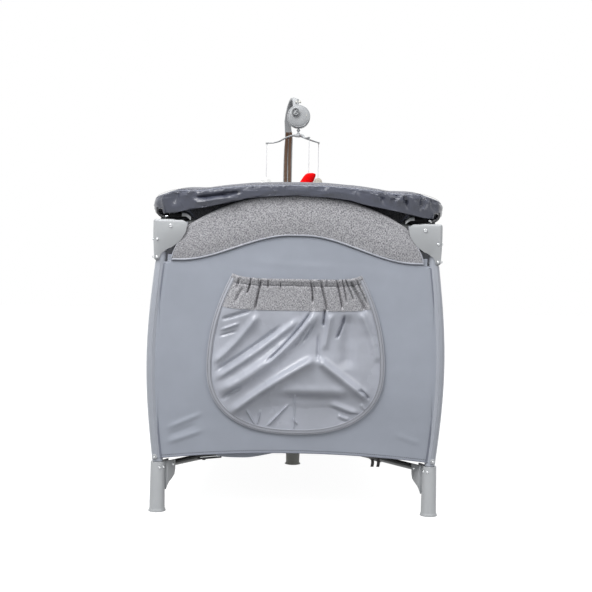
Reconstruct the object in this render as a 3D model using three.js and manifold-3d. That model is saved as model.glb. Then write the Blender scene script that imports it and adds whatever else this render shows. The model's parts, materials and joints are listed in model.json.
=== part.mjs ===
// A folding travel play yard: four legs, half rails that drop at their middle latches, lower arms
// on a hub that is pulled up, fabric walls and floor, a mattress, a changer and a hanging mobile.
// Millimetres, +Z up, origin on the floor under the middle. The front end faces -Y.
import * as THREE from 'three';
import { mergeVertices } from 'three/addons/utils/BufferGeometryUtils.js';
import Module from 'manifold-3d';

const wasm = await Module();
wasm.setup();

// Clearances
const GAP = 0.3; // between pieces that touch
const RUN = 0.6; // beside pieces that turn

// Frame: leg axes, corner pins and the linkage that folds
const LEG_X = 325;
const LEG_Y = 595;
const LEG_R = 11;
const BOW_X = 17; // how far the legs bow outwards
const BOW_Y = 6;
const RAIL_R = 9;
const RAIL_INSET = 3; // from a leg's axis in to the plane of its rails
const PIN_R = 3;
const END_PIN_INSET = 24; // from a leg's axis to an end rail's corner pin
const SIDE_PIN_INSET = 44;
const CORNER_PIN_Z = 680;
const LATCH_PIN = 21; // from a latch's middle to each of its pins
const SLOPE = 0.04; // rise of the pin lines, the same for rails and lower arms
const RAIL_ARCH = 8; // how far an end rail arches above its pin line
const ARM_R = 8;
const FOOT_PIN_Z = 108;
const HUB_PIN_R = 45; // from the hub's axis to each arm's pin

// Corner housings
const HOUSING_TOP = 696;
const HOUSING_BOTTOM = 598;
const HOUSING_OUT = 18.5; // outer faces, from the leg's axis
const HOUSING_REACH = 63; // inner end of the outer cheeks
const CHEEK = 3;
const CORE_IN = 14.4;
const TAB_IN = 3.6; // how far a housing's bottom tab lies inside its outer faces
const CAP_REACH = 33;
const CAP_T = 3.7;

// Foot housings
const FOOT_TOP = 118;
const FOOT_R = 17;
const FOOT_FLANGE_R = 21;
const FOOT_FLANGE_H = 6;
const SOCKET_FLOOR = 8;

// Latches and their buttons
const LATCH_HALF = 33;
const LATCH_UP = 14; // cheeks above the pins
const LATCH_DOWN = 26; // base below the pins
const LATCH_T = 2.4;
const LATCH_WEB = 7;
const BUTTON_X = 20;
const BUTTON_Y = 12;
const BUTTON_OUT = 6; // how far a button stands out below its latch
const BUTTON_TRAVEL = 4;

// Fabric walls and floor
const WALL_T = 3;
const WALL_EDGE = 17; // from a leg's axis in to a wall's edge
const WALL_BOTTOM = 133;
const WALL_BOTTOM_RISE = 22; // arch of the bottom edge at the middle
const CUT_BACK_Z = 600; // above this a wall is cut back round the rail pins
const FLOOR_T = 3;
const FLOOR_Z = 152; // underside, level with the bottom edges of the walls
const FLOOR_NOTCH = 26; // cut out of each outer corner round the leg
const BAND_POWER = 2.2; // shape of the arched top edges
const END_RISE = 56.8; // top of an end's padded edge at its middle, above its latch
const END_DROP = 68; // how much lower that edge is at the corner housings
const SIDE_RISE = 5.8;
const SIDE_DROP = 27;
const CREST_INSET = 80; // from a leg's axis to where the padded top edge starts

// Mattress
const MATTRESS_GAP_X = 25; // from the legs' axes in to the mattress
const MATTRESS_GAP_Y = 10;
const MATTRESS_T = 25;
const MATTRESS_CORNER = 30;

// Pocket on the front wall
const POCKET_TOP = 569;
const POCKET_WIDEST_Z = 352;
const POCKET_BOTTOM = 192;
const POCKET_HALF = 209.5;
const POCKET_TOP_HALF = 153;
const POCKET_DEPTH = 20;
const POCKET_T = 2;

// Changer
const CHANGER_PAST = 25; // the rim's long edges past the legs' axes
const CHANGER_HALF_Y = 301;
const CHANGER_PROUD = 27; // how far the changer's rim stands out past the front legs' axes
const CHANGER_RISE = 30; // top of the rim above the end walls
const CHANGER_DROP = 32; // fall of the rim from the middle to CHANGER_DROP_IN inside the legs' axes
const CHANGER_DROP_IN = 15;
const CHANGER_POWER = 7; // squareness of the plan's corners, 2 for an oval
const RIM_T = 28;
const TRAY_T = 9;
const TRAY_Z = 672;
const CHANGER_TUBE_R = 7;
const CHANGER_TUBE_IN_X = 52; // from the rim's edges in to the frame tube below it
const CHANGER_TUBE_IN_Y = 50;
const CHANGER_TUBE_DROP = 1; // gap from the rim's underside to the tube below it
const CLIP_W = 60;
const CLIP_T = 3;
const CLIP_SHELF_T = 5; // shelf under the changer's frame tube
const CLIP_DROP = 38;
const CLIP_PLACES = [-150, 150]; // from the changer's middle, along the side rails

// Mobile
const MOBILE_X = -37;
const CLAMP_W = 40;
const CLAMP_T = 4;
const CLAMP_DROP = 62;
const MOBILE_TOP = 1203;
const MOBILE_ARM_W = 30;
const MOBILE_ARM_T = 14;
const BOX_R = 40;
const BOX_T = 36;
const MOBILE_REACH = 165; // from the back legs in to the music box
const BOX_Z = 1122;
const KNOB_R = 12;
const KNOB_X = -9; // the knob sits up and to one side of the box's middle
const KNOB_Z = BOX_Z + 12;
const CAROUSEL_Z = 1062;
const CAROUSEL_R = 112;
const TOY_TURNS = [169, 49, -71]; // degrees round the carousel
const TOY_TOPS = [905, 925, 915];

// Transport wheels at the back end
const WHEEL_R = 26;
const WHEEL_W = 16;
const WHEEL_IN = 27; // from a leg's axis to the wheel's outer face
const AXLE_R = 5;
const WHEEL_CLEAR = 2; // above the floor while the yard stands

// Worked out from the sizes above
const END = {
  half: LEG_X, plane: LEG_Y, bow: BOW_X, depthBow: BOW_Y, pin: END_PIN_INSET,
  rise: END_RISE, drop: END_DROP, arch: RAIL_ARCH,
};
const SIDE = {
  half: LEG_Y, plane: LEG_X, bow: BOW_Y, depthBow: BOW_X, pin: SIDE_PIN_INSET,
  rise: SIDE_RISE, drop: SIDE_DROP, arch: 0,
};
for (const span of [END, SIDE]) {
  span.reach = span.half - span.pin - LATCH_PIN;
  span.latchZ = CORNER_PIN_Z + SLOPE * span.reach;
  span.crown = span.latchZ + LATCH_UP + span.rise;
}
const ARM_SWING = Math.SQRT2 * ARM_R + RUN; // room an arm's square-cut end needs round its pin
const ARM_RUN = Math.hypot(END.reach, SIDE.reach);
const ARM_DIR = new THREE.Vector2(END.reach, SIDE.reach).divideScalar(ARM_RUN);
const HUB_PIN_Z = FOOT_PIN_Z - SLOPE * ARM_RUN;
const FOOT_PIN = new THREE.Vector2(
  LEG_X - END.reach - HUB_PIN_R * ARM_DIR.x,
  LEG_Y - SIDE.reach - HUB_PIN_R * ARM_DIR.y,
);
const LATCH_CHEEK = RAIL_R + RUN; // inner face of a latch's cheek, from the rail's plane
const WALL_IN = LATCH_CHEEK + LATCH_T + GAP - RAIL_INSET; // a wall's inner face, out from the leg axes
const WALL_OUT = WALL_IN + WALL_T;
const CREST_IN = LATCH_CHEEK + LATCH_T + GAP + RAIL_INSET; // inner face of the padded top edge
const MATTRESS_Z = FLOOR_Z + FLOOR_T + GAP;
const CHANGER_Y = CHANGER_HALF_Y - LEG_Y - CHANGER_PROUD;
const CHANGER_HALF_X = LEG_X + CHANGER_PAST;
const CHANGER_CROWN = END.crown + CHANGER_RISE;
const CHANGER_DROP_X = LEG_X - CHANGER_DROP_IN;
const CHANGER_TUBE_X = CHANGER_HALF_X - CHANGER_TUBE_IN_X;
const CHANGER_TUBE_Y = CHANGER_HALF_Y - CHANGER_TUBE_IN_Y;
const MATTRESS_X = LEG_X - MATTRESS_GAP_X;
const MATTRESS_Y = LEG_Y - MATTRESS_GAP_Y;
const BOX_Y = LEG_Y - MOBILE_REACH;

const material = (color, roughness, metalness = 0) =>
  new THREE.MeshStandardMaterial({ color, roughness, metalness });
const MATERIALS = {
  housing: material(0xafb1b2, 0.55),
  tube: material(0x3c4040, 0.4, 0.6),
  steel: material(0x9a9c9e, 0.35, 0.9),
  wall: material(0x9fa4b2, 0.6),
  heather: material(0xa3a3a7, 0.9),
  changer: material(0x545a69, 0.4),
  dark: material(0x26282a, 0.5),
  mobile: material(0xa5a7aa, 0.4),
  red: material(0xee0a12, 0.9),
  beige: material(0xb9b4aa, 0.9),
  white: material(0xf0f0ee, 0.9),
  rubber: material(0x2c2c2e, 0.8),
};

const yard = new THREE.Group();

// Adds a named piece to a group, mirrored across x where sign is -1.
function add(name, geometry, finish, group = yard, sign = 1) {
  const mesh = new THREE.Mesh(geometry, finish);
  mesh.name = name;
  mesh.scale.x = sign;
  group.add(mesh);
  return mesh;
}

function toSolid(geometry) {
  const bare = geometry.clone();
  bare.deleteAttribute('normal');
  bare.deleteAttribute('uv');
  const merged = mergeVertices(bare, 1e-3);
  return new wasm.Manifold(new wasm.Mesh({
    numProp: 3,
    vertProperties: merged.attributes.position.array,
    triVerts: new Uint32Array(merged.index.array),
  }));
}

function toGeometry(solid) {
  const mesh = solid.getMesh();
  const geometry = new THREE.BufferGeometry();
  geometry.setAttribute('position', new THREE.BufferAttribute(mesh.vertProperties, 3));
  geometry.setIndex(new THREE.BufferAttribute(mesh.triVerts, 1));
  return geometry;
}

// Joins the kept geometries into one solid and takes the cut ones away.
function join(kept, cuts = []) {
  const whole = kept.map(toSolid).reduce((a, b) => a.add(b));
  return toGeometry(cuts.map(toSolid).reduce((a, b) => a.subtract(b), whole));
}

const vec = (x, y, z) => new THREE.Vector3(x, y, z);

function box(from, to) {
  const size = to.map((high, axis) => high - from[axis]);
  const middle = to.map((high, axis) => (high + from[axis]) / 2);
  return new THREE.BoxGeometry(...size).translate(...middle);
}

function rod(from, to, radius, sides = 16, endRadius = radius) {
  const length = from.distanceTo(to);
  const along = to.clone().sub(from).normalize();
  const turn = new THREE.Quaternion().setFromUnitVectors(vec(0, 1, 0), along);
  const middle = from.clone().lerp(to, 0.5);
  return new THREE.CylinderGeometry(endRadius, radius, length, sides)
    .applyQuaternion(turn).translate(...middle);
}

// A shape drawn in x and z, given its thickness from y = from to y = to.
function plate(points, from, to, curveSegments = 5) {
  const shape = Array.isArray(points)
    ? new THREE.Shape(points.map(([x, z]) => new THREE.Vector2(x, z))) : points;
  return new THREE.ExtrudeGeometry(shape, { depth: to - from, bevelEnabled: false, curveSegments })
    .rotateX(Math.PI / 2).translate(0, to, 0);
}

function roundedRect(halfX, halfY, radius) {
  const shape = new THREE.Shape();
  shape.moveTo(-halfX + radius, -halfY);
  shape.lineTo(halfX - radius, -halfY).absarc(halfX - radius, -halfY + radius, radius, -Math.PI / 2, 0);
  shape.lineTo(halfX, halfY - radius).absarc(halfX - radius, halfY - radius, radius, 0, Math.PI / 2);
  shape.lineTo(-halfX + radius, halfY).absarc(-halfX + radius, halfY - radius, radius, Math.PI / 2, Math.PI);
  shape.lineTo(-halfX, -halfY + radius);
  shape.absarc(-halfX + radius, -halfY + radius, radius, Math.PI, Math.PI * 1.5);
  return shape;
}

function sweep(points, shape, steps, curveSegments = 6) {
  return new THREE.ExtrudeGeometry(shape, {
    steps, bevelEnabled: false, curveSegments, extrudePath: new THREE.CatmullRomCurve3(points),
  });
}

// A closed solid through rings of points in the same order: flat ends, or a loop with none.
function loft(rings, loop = false) {
  const count = rings[0].length;
  const points = rings.flat().flatMap((point) => [point.x, point.y, point.z]);
  const faces = [];
  for (let ring = 0; ring < rings.length - (loop ? 0 : 1); ring++)
    for (let i = 0; i < count; i++) {
      const [a, b] = [i, (i + 1) % count].map((corner) => ring * count + corner);
      const [c, d] = [(i + 1) % count, i].map((corner) => (ring + 1) % rings.length * count + corner);
      faces.push(a, b, c, a, c, d);
    }
  const last = (rings.length - 1) * count;
  if (!loop) for (let i = 1; i < count - 1; i++) faces.push(0, i + 1, i, last, last + i, last + i + 1);
  const geometry = new THREE.BufferGeometry();
  geometry.setAttribute('position', new THREE.Float32BufferAttribute(points, 3));
  geometry.setIndex(faces);
  return geometry;
}

// A ring of points round a middle, in the plane of two directions at right angles.
const circle = (middle, first, second, radius, sides) => Array.from({ length: sides }, (_, side) => {
  const turn = 2 * Math.PI * side / sides;
  return middle.clone().addScaledVector(first, radius * Math.cos(turn))
    .addScaledVector(second, radius * Math.sin(turn));
});

const disc = (radius) => new THREE.Shape().absarc(0, 0, radius, 0, Math.PI * 2);

// A closed sheet between two surfaces over u and v in 0..1, outer(u, v) and inner(u, v).
function sheet(outer, inner, columns, rows) {
  const points = [];
  const faces = [];
  const wide = columns + 1;
  const at = (layer, column, row) => layer * wide * (rows + 1) + row * wide + column;
  for (const surface of [outer, inner])
    for (let row = 0; row <= rows; row++)
      for (let column = 0; column <= columns; column++) points.push(...surface(column / columns, row / rows));
  const quad = (a, b, c, d) => faces.push(a, b, c, a, c, d);
  for (let row = 0; row < rows; row++)
    for (let column = 0; column < columns; column++) {
      quad(at(0, column, row), at(0, column + 1, row), at(0, column + 1, row + 1), at(0, column, row + 1));
      quad(at(1, column, row), at(1, column, row + 1), at(1, column + 1, row + 1), at(1, column + 1, row));
    }
  for (let column = 0; column < columns; column++) {
    quad(at(0, column, 0), at(1, column, 0), at(1, column + 1, 0), at(0, column + 1, 0));
    quad(at(0, column, rows), at(0, column + 1, rows), at(1, column + 1, rows), at(1, column, rows));
  }
  for (let row = 0; row < rows; row++) {
    quad(at(0, 0, row), at(0, 0, row + 1), at(1, 0, row + 1), at(1, 0, row));
    quad(at(0, columns, row), at(1, columns, row), at(1, columns, row + 1), at(0, columns, row + 1));
  }
  const geometry = new THREE.BufferGeometry();
  geometry.setAttribute('position', new THREE.Float32BufferAttribute(points, 3));
  geometry.setIndex(faces);
  return geometry;
}

// Share of the full bow at a height: none in the housings, most at the middle of the leg.
function bowAt(z) {
  const share = (z - FOOT_TOP) / (HOUSING_BOTTOM - FOOT_TOP);
  return share <= 0 || share >= 1 ? 0 : Math.sin(Math.PI * share);
}

// Height of a wall's arched top edge at a distance along it.
const bandTop = (span, along) =>
  span.crown - span.drop * (Math.abs(along) / (span.half - HOUSING_REACH)) ** BAND_POWER;

// Height of a half rail's axis at a distance inwards from its corner pin.
function railZ(span, run) {
  const share = Math.min(Math.max(run / span.reach, 0), 1);
  return CORNER_PIN_Z + SLOPE * run + 4 * span.arch * share * (1 - share);
}

// Pieces at a corner are drawn with x and y inwards from the leg's axis.
function cornerGroup(signX, signY) {
  const group = new THREE.Group();
  group.position.set(signX * LEG_X, signY * LEG_Y, 0);
  group.scale.set(-signX, -signY, 1);
  yard.add(group);
  return group;
}

function legTube() {
  const steps = 9;
  const heights = [SOCKET_FLOOR + GAP];
  for (let step = 0; step <= steps; step++)
    heights.push(FOOT_TOP + (HOUSING_BOTTOM - FOOT_TOP) * step / steps);
  heights.push(HOUSING_TOP - CAP_T - GAP);
  return loft(heights.map((z) => circle(
    vec(-BOW_X * bowAt(z), -BOW_Y * bowAt(z), z), vec(1, 0, 0), vec(0, 1, 0), LEG_R, 12,
  )));
}

// Outer cheek of a corner housing: square outside, quarter round towards the middle of the side.
function cheekShape(inner, reach, bottom, top = HOUSING_TOP) {
  const shape = new THREE.Shape();
  shape.moveTo(inner, bottom).lineTo(inner, top).lineTo(reach - 24, top);
  shape.quadraticCurveTo(reach - 3, top - 1.5, reach, top - 12);
  shape.bezierCurveTo(reach, top - 42, inner + 40, bottom + 6, inner + 18, bottom);
  return shape;
}

// What a rounded corner loses, as an outline; up is 1 at a bottom corner and -1 at a top one.
function rounded([x, z], radius, up) {
  const points = [[x - 1, z - up], [x - 1, z + up * radius]];
  for (let step = 0; step <= 4; step++) {
    const turn = step * Math.PI / 8;
    points.push([x + radius * (1 - Math.cos(turn)), z + up * radius * (1 - Math.sin(turn))]);
  }
  points.push([x + radius, z - up]);
  return points;
}

function cornerHousing() {
  const outer = cheekShape(-6, HOUSING_REACH, HOUSING_BOTTOM + 25);
  const railCheek = RAIL_R + RUN + RAIL_INSET;
  const inner = cheekShape(CORE_IN - CHEEK / 2, HOUSING_REACH - 8, CORNER_PIN_Z - 36);
  const swapXY = (geometry) => {
    const index = geometry.index ? geometry : mergeVertices(geometry);
    const turned = index.clone().applyMatrix4(new THREE.Matrix4().makeBasis(
      vec(0, 1, 0), vec(1, 0, 0), vec(0, 0, 1),
    ));
    const order = turned.index.array;
    for (let i = 0; i < order.length; i += 3) [order[i + 1], order[i + 2]] = [order[i + 2], order[i + 1]];
    return turned;
  };
  const middle = (CORE_IN - HOUSING_OUT) / 2;
  const half = (CORE_IN + HOUSING_OUT) / 2;
  const core = new THREE.ExtrudeGeometry(roundedRect(half, half, 12), {
    depth: HOUSING_TOP - HOUSING_BOTTOM, bevelEnabled: false, curveSegments: 4,
  }).translate(middle, middle, HOUSING_BOTTOM);
  const capMiddle = (CAP_REACH - HOUSING_OUT) / 2;
  const capHalf = (CAP_REACH + HOUSING_OUT) / 2;
  const cap = new THREE.ExtrudeGeometry(roundedRect(capHalf, capHalf, 12), {
    depth: CAP_T, bevelEnabled: false, curveSegments: 4,
  }).translate(capMiddle, capMiddle, HOUSING_TOP - CAP_T);
  const cheeks = [
    plate(outer, -HOUSING_OUT, -HOUSING_OUT + CHEEK), plate(inner, railCheek, railCheek + CHEEK),
  ];
  const across = (inset) => rod(
    vec(inset, -HOUSING_OUT + CHEEK / 2, CORNER_PIN_Z),
    vec(inset, railCheek + CHEEK / 2, CORNER_PIN_Z), PIN_R, 8,
  );
  const socket = rod(vec(0, 0, HOUSING_BOTTOM - 1), vec(0, 0, HOUSING_TOP - CAP_T), LEG_R + GAP, 16);
  const low = HOUSING_BOTTOM;
  const out = -HOUSING_OUT;
  const trims = [
    [
      [-3, low - 1], [-2, low + 7], [1, low + 14], [5, low + 19], [CORE_IN + 1, low + 25],
      [CORE_IN + 1, low - 1],
    ],
    [
      [out - 1, low - 1], [out - 1, low + 62], [out, low + 62], [out + TAB_IN, low + 10],
      [out + TAB_IN, low - 1],
    ],
    rounded([out + TAB_IN, low], 6, 1), rounded([out, HOUSING_TOP], 8, -1),
  ].map((points) => plate(points, -HOUSING_OUT - 1, HOUSING_REACH + 1));
  return join([
    core, cap, ...cheeks, ...cheeks.map(swapXY), across(END_PIN_INSET), swapXY(across(SIDE_PIN_INSET)),
  ], [socket, ...trims, ...trims.map(swapXY)]);
}

// Turns a geometry drawn along x so that it lies along an arm at a corner or at the hub.
function alongArm(geometry, start) {
  const turn = Math.atan2(ARM_DIR.y, ARM_DIR.x);
  return geometry.rotateZ(turn).translate(start.x, start.y, 0);
}

function footHousing() {
  const column = new THREE.CylinderGeometry(FOOT_R, FOOT_R + 1.5, FOOT_TOP, 20)
    .rotateX(Math.PI / 2).translate(0, 0, FOOT_TOP / 2);
  const flange = new THREE.CylinderGeometry(FOOT_R + 2, FOOT_FLANGE_R, FOOT_FLANGE_H, 20)
    .rotateX(Math.PI / 2).translate(0, 0, FOOT_FLANGE_H / 2);
  const cheek = ARM_R + RUN;
  const ear = [[-22, FOOT_TOP], [10, FOOT_TOP], [10, 94], [6, 80], [-3, 66], [-10, 56], [-22, 50]];
  const earBlock = alongArm(plate(ear, -cheek - CHEEK, cheek + CHEEK), FOOT_PIN);
  const flare = [
    [60, 92], [40, 92], [38.5, 84], [33, 75], [26, 66], [21.5, 56], [19.3, 44], [18.9, 30], [60, 30],
  ];
  const flares = [plate(flare, -60, 60), plate(flare, -60, 60).rotateZ(Math.PI / 2)];
  const slot = alongArm(
    box([-ARM_SWING, -cheek, FOOT_PIN_Z - ARM_SWING], [30, cheek, FOOT_TOP + 1]), FOOT_PIN,
  );
  const pin = alongArm(rod(
    vec(0, -cheek - CHEEK / 2, FOOT_PIN_Z), vec(0, cheek + CHEEK / 2, FOOT_PIN_Z), PIN_R, 8,
  ), FOOT_PIN);
  const socket = rod(vec(0, 0, SOCKET_FLOOR), vec(0, 0, FOOT_TOP + 1), LEG_R + GAP, 16);
  return toGeometry(toSolid(join([column, flange, earBlock], [slot, socket, ...flares])).add(toSolid(pin)));
}

function lowerArm() {
  const along = vec(ARM_DIR.x, ARM_DIR.y, -SLOPE).normalize();
  const start = vec(FOOT_PIN.x, FOOT_PIN.y, FOOT_PIN_Z);
  const end = start.clone().addScaledVector(along, ARM_RUN * Math.hypot(1, SLOPE));
  const past = (at, distance) => at.clone().addScaledVector(along, distance);
  const bar = rod(past(start, -ARM_R), past(end, ARM_R), ARM_R, 12);
  const side = vec(-ARM_DIR.y, ARM_DIR.x, 0).multiplyScalar(ARM_R + 2);
  const bore = (at) => rod(at.clone().sub(side), at.clone().add(side), PIN_R + GAP, 10);
  return join([bar], [bore(start), bore(end)]);
}

function hub() {
  const cheek = ARM_R + RUN;
  const reach = HUB_PIN_R + 11;
  const up = HUB_PIN_Z + 12;
  const down = HUB_PIN_Z - 12;
  const post = new THREE.CylinderGeometry(22, 20, down, 20).rotateX(Math.PI / 2).translate(0, 0, down / 2);
  const base = new THREE.CylinderGeometry(21, 24, 5, 20).rotateX(Math.PI / 2).translate(0, 0, 2.5);
  const core = new THREE.CylinderGeometry(HUB_PIN_R - ARM_SWING, HUB_PIN_R - ARM_SWING, up - down, 28)
    .rotateX(Math.PI / 2).translate(0, 0, HUB_PIN_Z);
  const solids = [post, base, core];
  const turns = [1, -1].flatMap((x) => [1, -1].map((y) => Math.atan2(y * ARM_DIR.y, x * ARM_DIR.x)));
  for (const turn of turns) {
    for (const side of [-1, 1]) {
      const near = side * cheek;
      const far = side * (cheek + CHEEK);
      solids.push(box([27, Math.min(near, far), down], [reach, Math.max(near, far), up]).rotateZ(turn));
    }
    const half = cheek + CHEEK / 2;
    const pin = rod(vec(HUB_PIN_R, -half, HUB_PIN_Z), vec(HUB_PIN_R, half, HUB_PIN_Z), PIN_R, 8);
    solids.push(pin.rotateZ(turn));
  }
  return join(solids);
}

function pullStrap() {
  const top = FLOOR_Z + FLOOR_T;
  return join(
    [box([-12.5, -1.4, HUB_PIN_Z + 12 + GAP], [12.5, 1.4, top])],
    [box([-6, -2, HUB_PIN_Z + 19], [6, 2, top - 8])],
  );
}

// A half rail of a side, drawn for the half with x above 0, in the plane of its rails.
function halfRail(span) {
  const y = -(span.plane - RAIL_INSET);
  const steps = span.arch ? 7 : 1;
  const tail = RAIL_R - 1;
  const runs = [-tail, -0.75 * tail, -0.4 * tail];
  for (let step = 0; step <= steps; step++) runs.push(span.reach * step / steps);
  runs.push(span.reach + tail);
  const at = (run) => vec(span.half - span.pin - run, y, railZ(span, run));
  const radius = (run) => (run < 0 ? Math.sqrt(RAIL_R ** 2 - run ** 2) : RAIL_R); // round end at its pin
  const rings = runs.map((run) => circle(at(run), vec(0, 0, 1), vec(0, 1, 0), radius(run), 12));
  const bore = ({ x, z }) => rod(vec(x, y - 2 * RAIL_R, z), vec(x, y + 2 * RAIL_R, z), PIN_R + GAP, 10);
  return join([loft(rings)], [bore(at(0)), bore(at(span.reach))]);
}

function latch(span) {
  const y = -(span.plane - RAIL_INSET);
  const z = span.latchZ;
  const outer = LATCH_CHEEK + LATCH_T;
  const cheek = (side) => box(
    [-LATCH_HALF, y + Math.min(side * LATCH_CHEEK, side * outer), z - LATCH_DOWN],
    [LATCH_HALF, y + Math.max(side * LATCH_CHEEK, side * outer), z + LATCH_UP],
  );
  const base = box([-LATCH_HALF, y - outer, z - LATCH_DOWN], [LATCH_HALF, y + outer, z - LATCH_DOWN + CHEEK]);
  const webBottom = z - LATCH_DOWN + CHEEK + GAP + CHEEK + BUTTON_TRAVEL + RUN;
  const web = box([-LATCH_WEB, y - outer, webBottom], [LATCH_WEB, y + outer, z + LATCH_UP - 4]);
  const pins = [-LATCH_PIN, LATCH_PIN].map((x) => rod(
    vec(x, y - LATCH_CHEEK - 1, z), vec(x, y + LATCH_CHEEK + 1, z), PIN_R, 8,
  ));
  const hole = box(
    [-BUTTON_X / 2, y - BUTTON_Y / 2, z - LATCH_DOWN - 1],
    [BUTTON_X / 2, y + BUTTON_Y / 2, z - LATCH_DOWN + CHEEK + 1],
  );
  return join([cheek(-1), cheek(1), base, web, ...pins], [hole]);
}

function latchButton(span) {
  const y = -(span.plane - RAIL_INSET);
  const flangeZ = span.latchZ - LATCH_DOWN + CHEEK + GAP;
  const halfX = BUTTON_X / 2 - GAP;
  const halfY = BUTTON_Y / 2 - GAP;
  const face = span.latchZ - LATCH_DOWN - BUTTON_OUT;
  const stem = box([-halfX, y - halfY, face], [halfX, y + halfY, flangeZ + 1]);
  const flange = box([-halfX - 2, y - halfY - 2, flangeZ], [halfX + 2, y + halfY + 2, flangeZ + CHEEK]);
  return join([stem, flange]);
}

// A wall: a thin sheet that bows with the legs, and a padded top edge that lies over the rails.
function wall(span) {
  const cutBack = span.half - span.pin - 2 * PIN_R - 2;
  const halfAt = (z) => (z > CUT_BACK_Z ? cutBack : span.half + span.bow * bowAt(z) - WALL_EDGE);
  const surface = (out) => (u, v) => {
    const share = 2 * u - 1;
    const bottom = WALL_BOTTOM + WALL_BOTTOM_RISE * (1 - share ** 2);
    const top = bandTop(span, share * cutBack);
    const z = bottom + (top - bottom) * v;
    return [share * halfAt(z), -(span.plane + out + span.depthBow * bowAt(z)), z];
  };
  const panel = sheet(surface(WALL_OUT), surface(WALL_IN), 8, 8);
  const crestHalf = span.half - CREST_INSET;
  const steps = 12;
  const outline = [];
  for (let step = 0; step <= steps; step++) {
    const x = crestHalf * (2 * step / steps - 1);
    outline.push([x, bandTop(span, x) - GAP]);
  }
  for (let step = steps; step >= 0; step--) {
    const x = crestHalf * (2 * step / steps - 1);
    const overRail = railZ(span, span.half - span.pin - Math.abs(x)) + RAIL_R + 2 * RUN;
    const overLatch = Math.abs(x) < LATCH_HALF + crestHalf * 2 / steps ? span.latchZ + LATCH_UP + RUN : 0;
    outline.push([x, Math.min(Math.max(overRail, overLatch), bandTop(span, x) - 2)]);
  }
  const crest = plate(outline, -(span.plane + WALL_IN + 1), -(span.plane - CREST_IN));
  return join([panel, crest]);
}

function floorQuarter() {
  const slit = 14;
  const edgeX = LEG_X + WALL_IN - GAP + BOW_X * bowAt(FLOOR_Z);
  const edgeY = LEG_Y + WALL_IN - GAP + BOW_Y * bowAt(FLOOR_Z);
  const points = [
    [slit, 1], [edgeX, 1], [edgeX, edgeY - FLOOR_NOTCH], [edgeX - FLOOR_NOTCH, edgeY - FLOOR_NOTCH],
    [edgeX - FLOOR_NOTCH, edgeY], [1, edgeY], [1, 3], [slit, 3],
  ].map(([x, y]) => new THREE.Vector2(LEG_X - x, LEG_Y - y));
  return new THREE.ExtrudeGeometry(new THREE.Shape(points), { depth: FLOOR_T, bevelEnabled: false })
    .translate(0, 0, FLOOR_Z);
}

function mattress() {
  return new THREE.ExtrudeGeometry(roundedRect(MATTRESS_X, MATTRESS_Y, MATTRESS_CORNER), {
    depth: MATTRESS_T, bevelEnabled: false, curveSegments: 6,
  }).translate(0, 0, MATTRESS_Z);
}

// Half width of the pocket at a height: round below its widest place, drawn in towards its top.
function pocketHalf(z) {
  if (z > POCKET_WIDEST_Z) {
    const share = (z - POCKET_WIDEST_Z) / (POCKET_TOP - POCKET_WIDEST_Z);
    return POCKET_HALF - (POCKET_HALF - POCKET_TOP_HALF) * share ** 2;
  }
  const share = (POCKET_WIDEST_Z - z) / (POCKET_WIDEST_Z - POCKET_BOTTOM);
  return Math.max(POCKET_HALF * (1 - share ** 2.4) ** (1 / 2.4), POCKET_HALF / 5);
}

function pocket() {
  const surface = (out) => (u, v) => {
    const share = 2 * u - 1;
    const z = POCKET_BOTTOM + (POCKET_TOP - POCKET_BOTTOM) * v ** 0.8;
    const belly = (1 - share ** 4) * Math.min(1, v * 3) * (1 - 0.2 * v);
    const y = LEG_Y + WALL_OUT + GAP + BOW_Y * bowAt(z) + POCKET_DEPTH * belly + out;
    return [share * pocketHalf(z), -y, z];
  };
  return sheet(surface(POCKET_T), surface(0), 10, 9);
}

// Height of the changer's rim at a distance from its middle.
const rimTop = (x) => CHANGER_CROWN - CHANGER_DROP * (Math.abs(x) / CHANGER_DROP_X) ** BAND_POWER;

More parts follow.
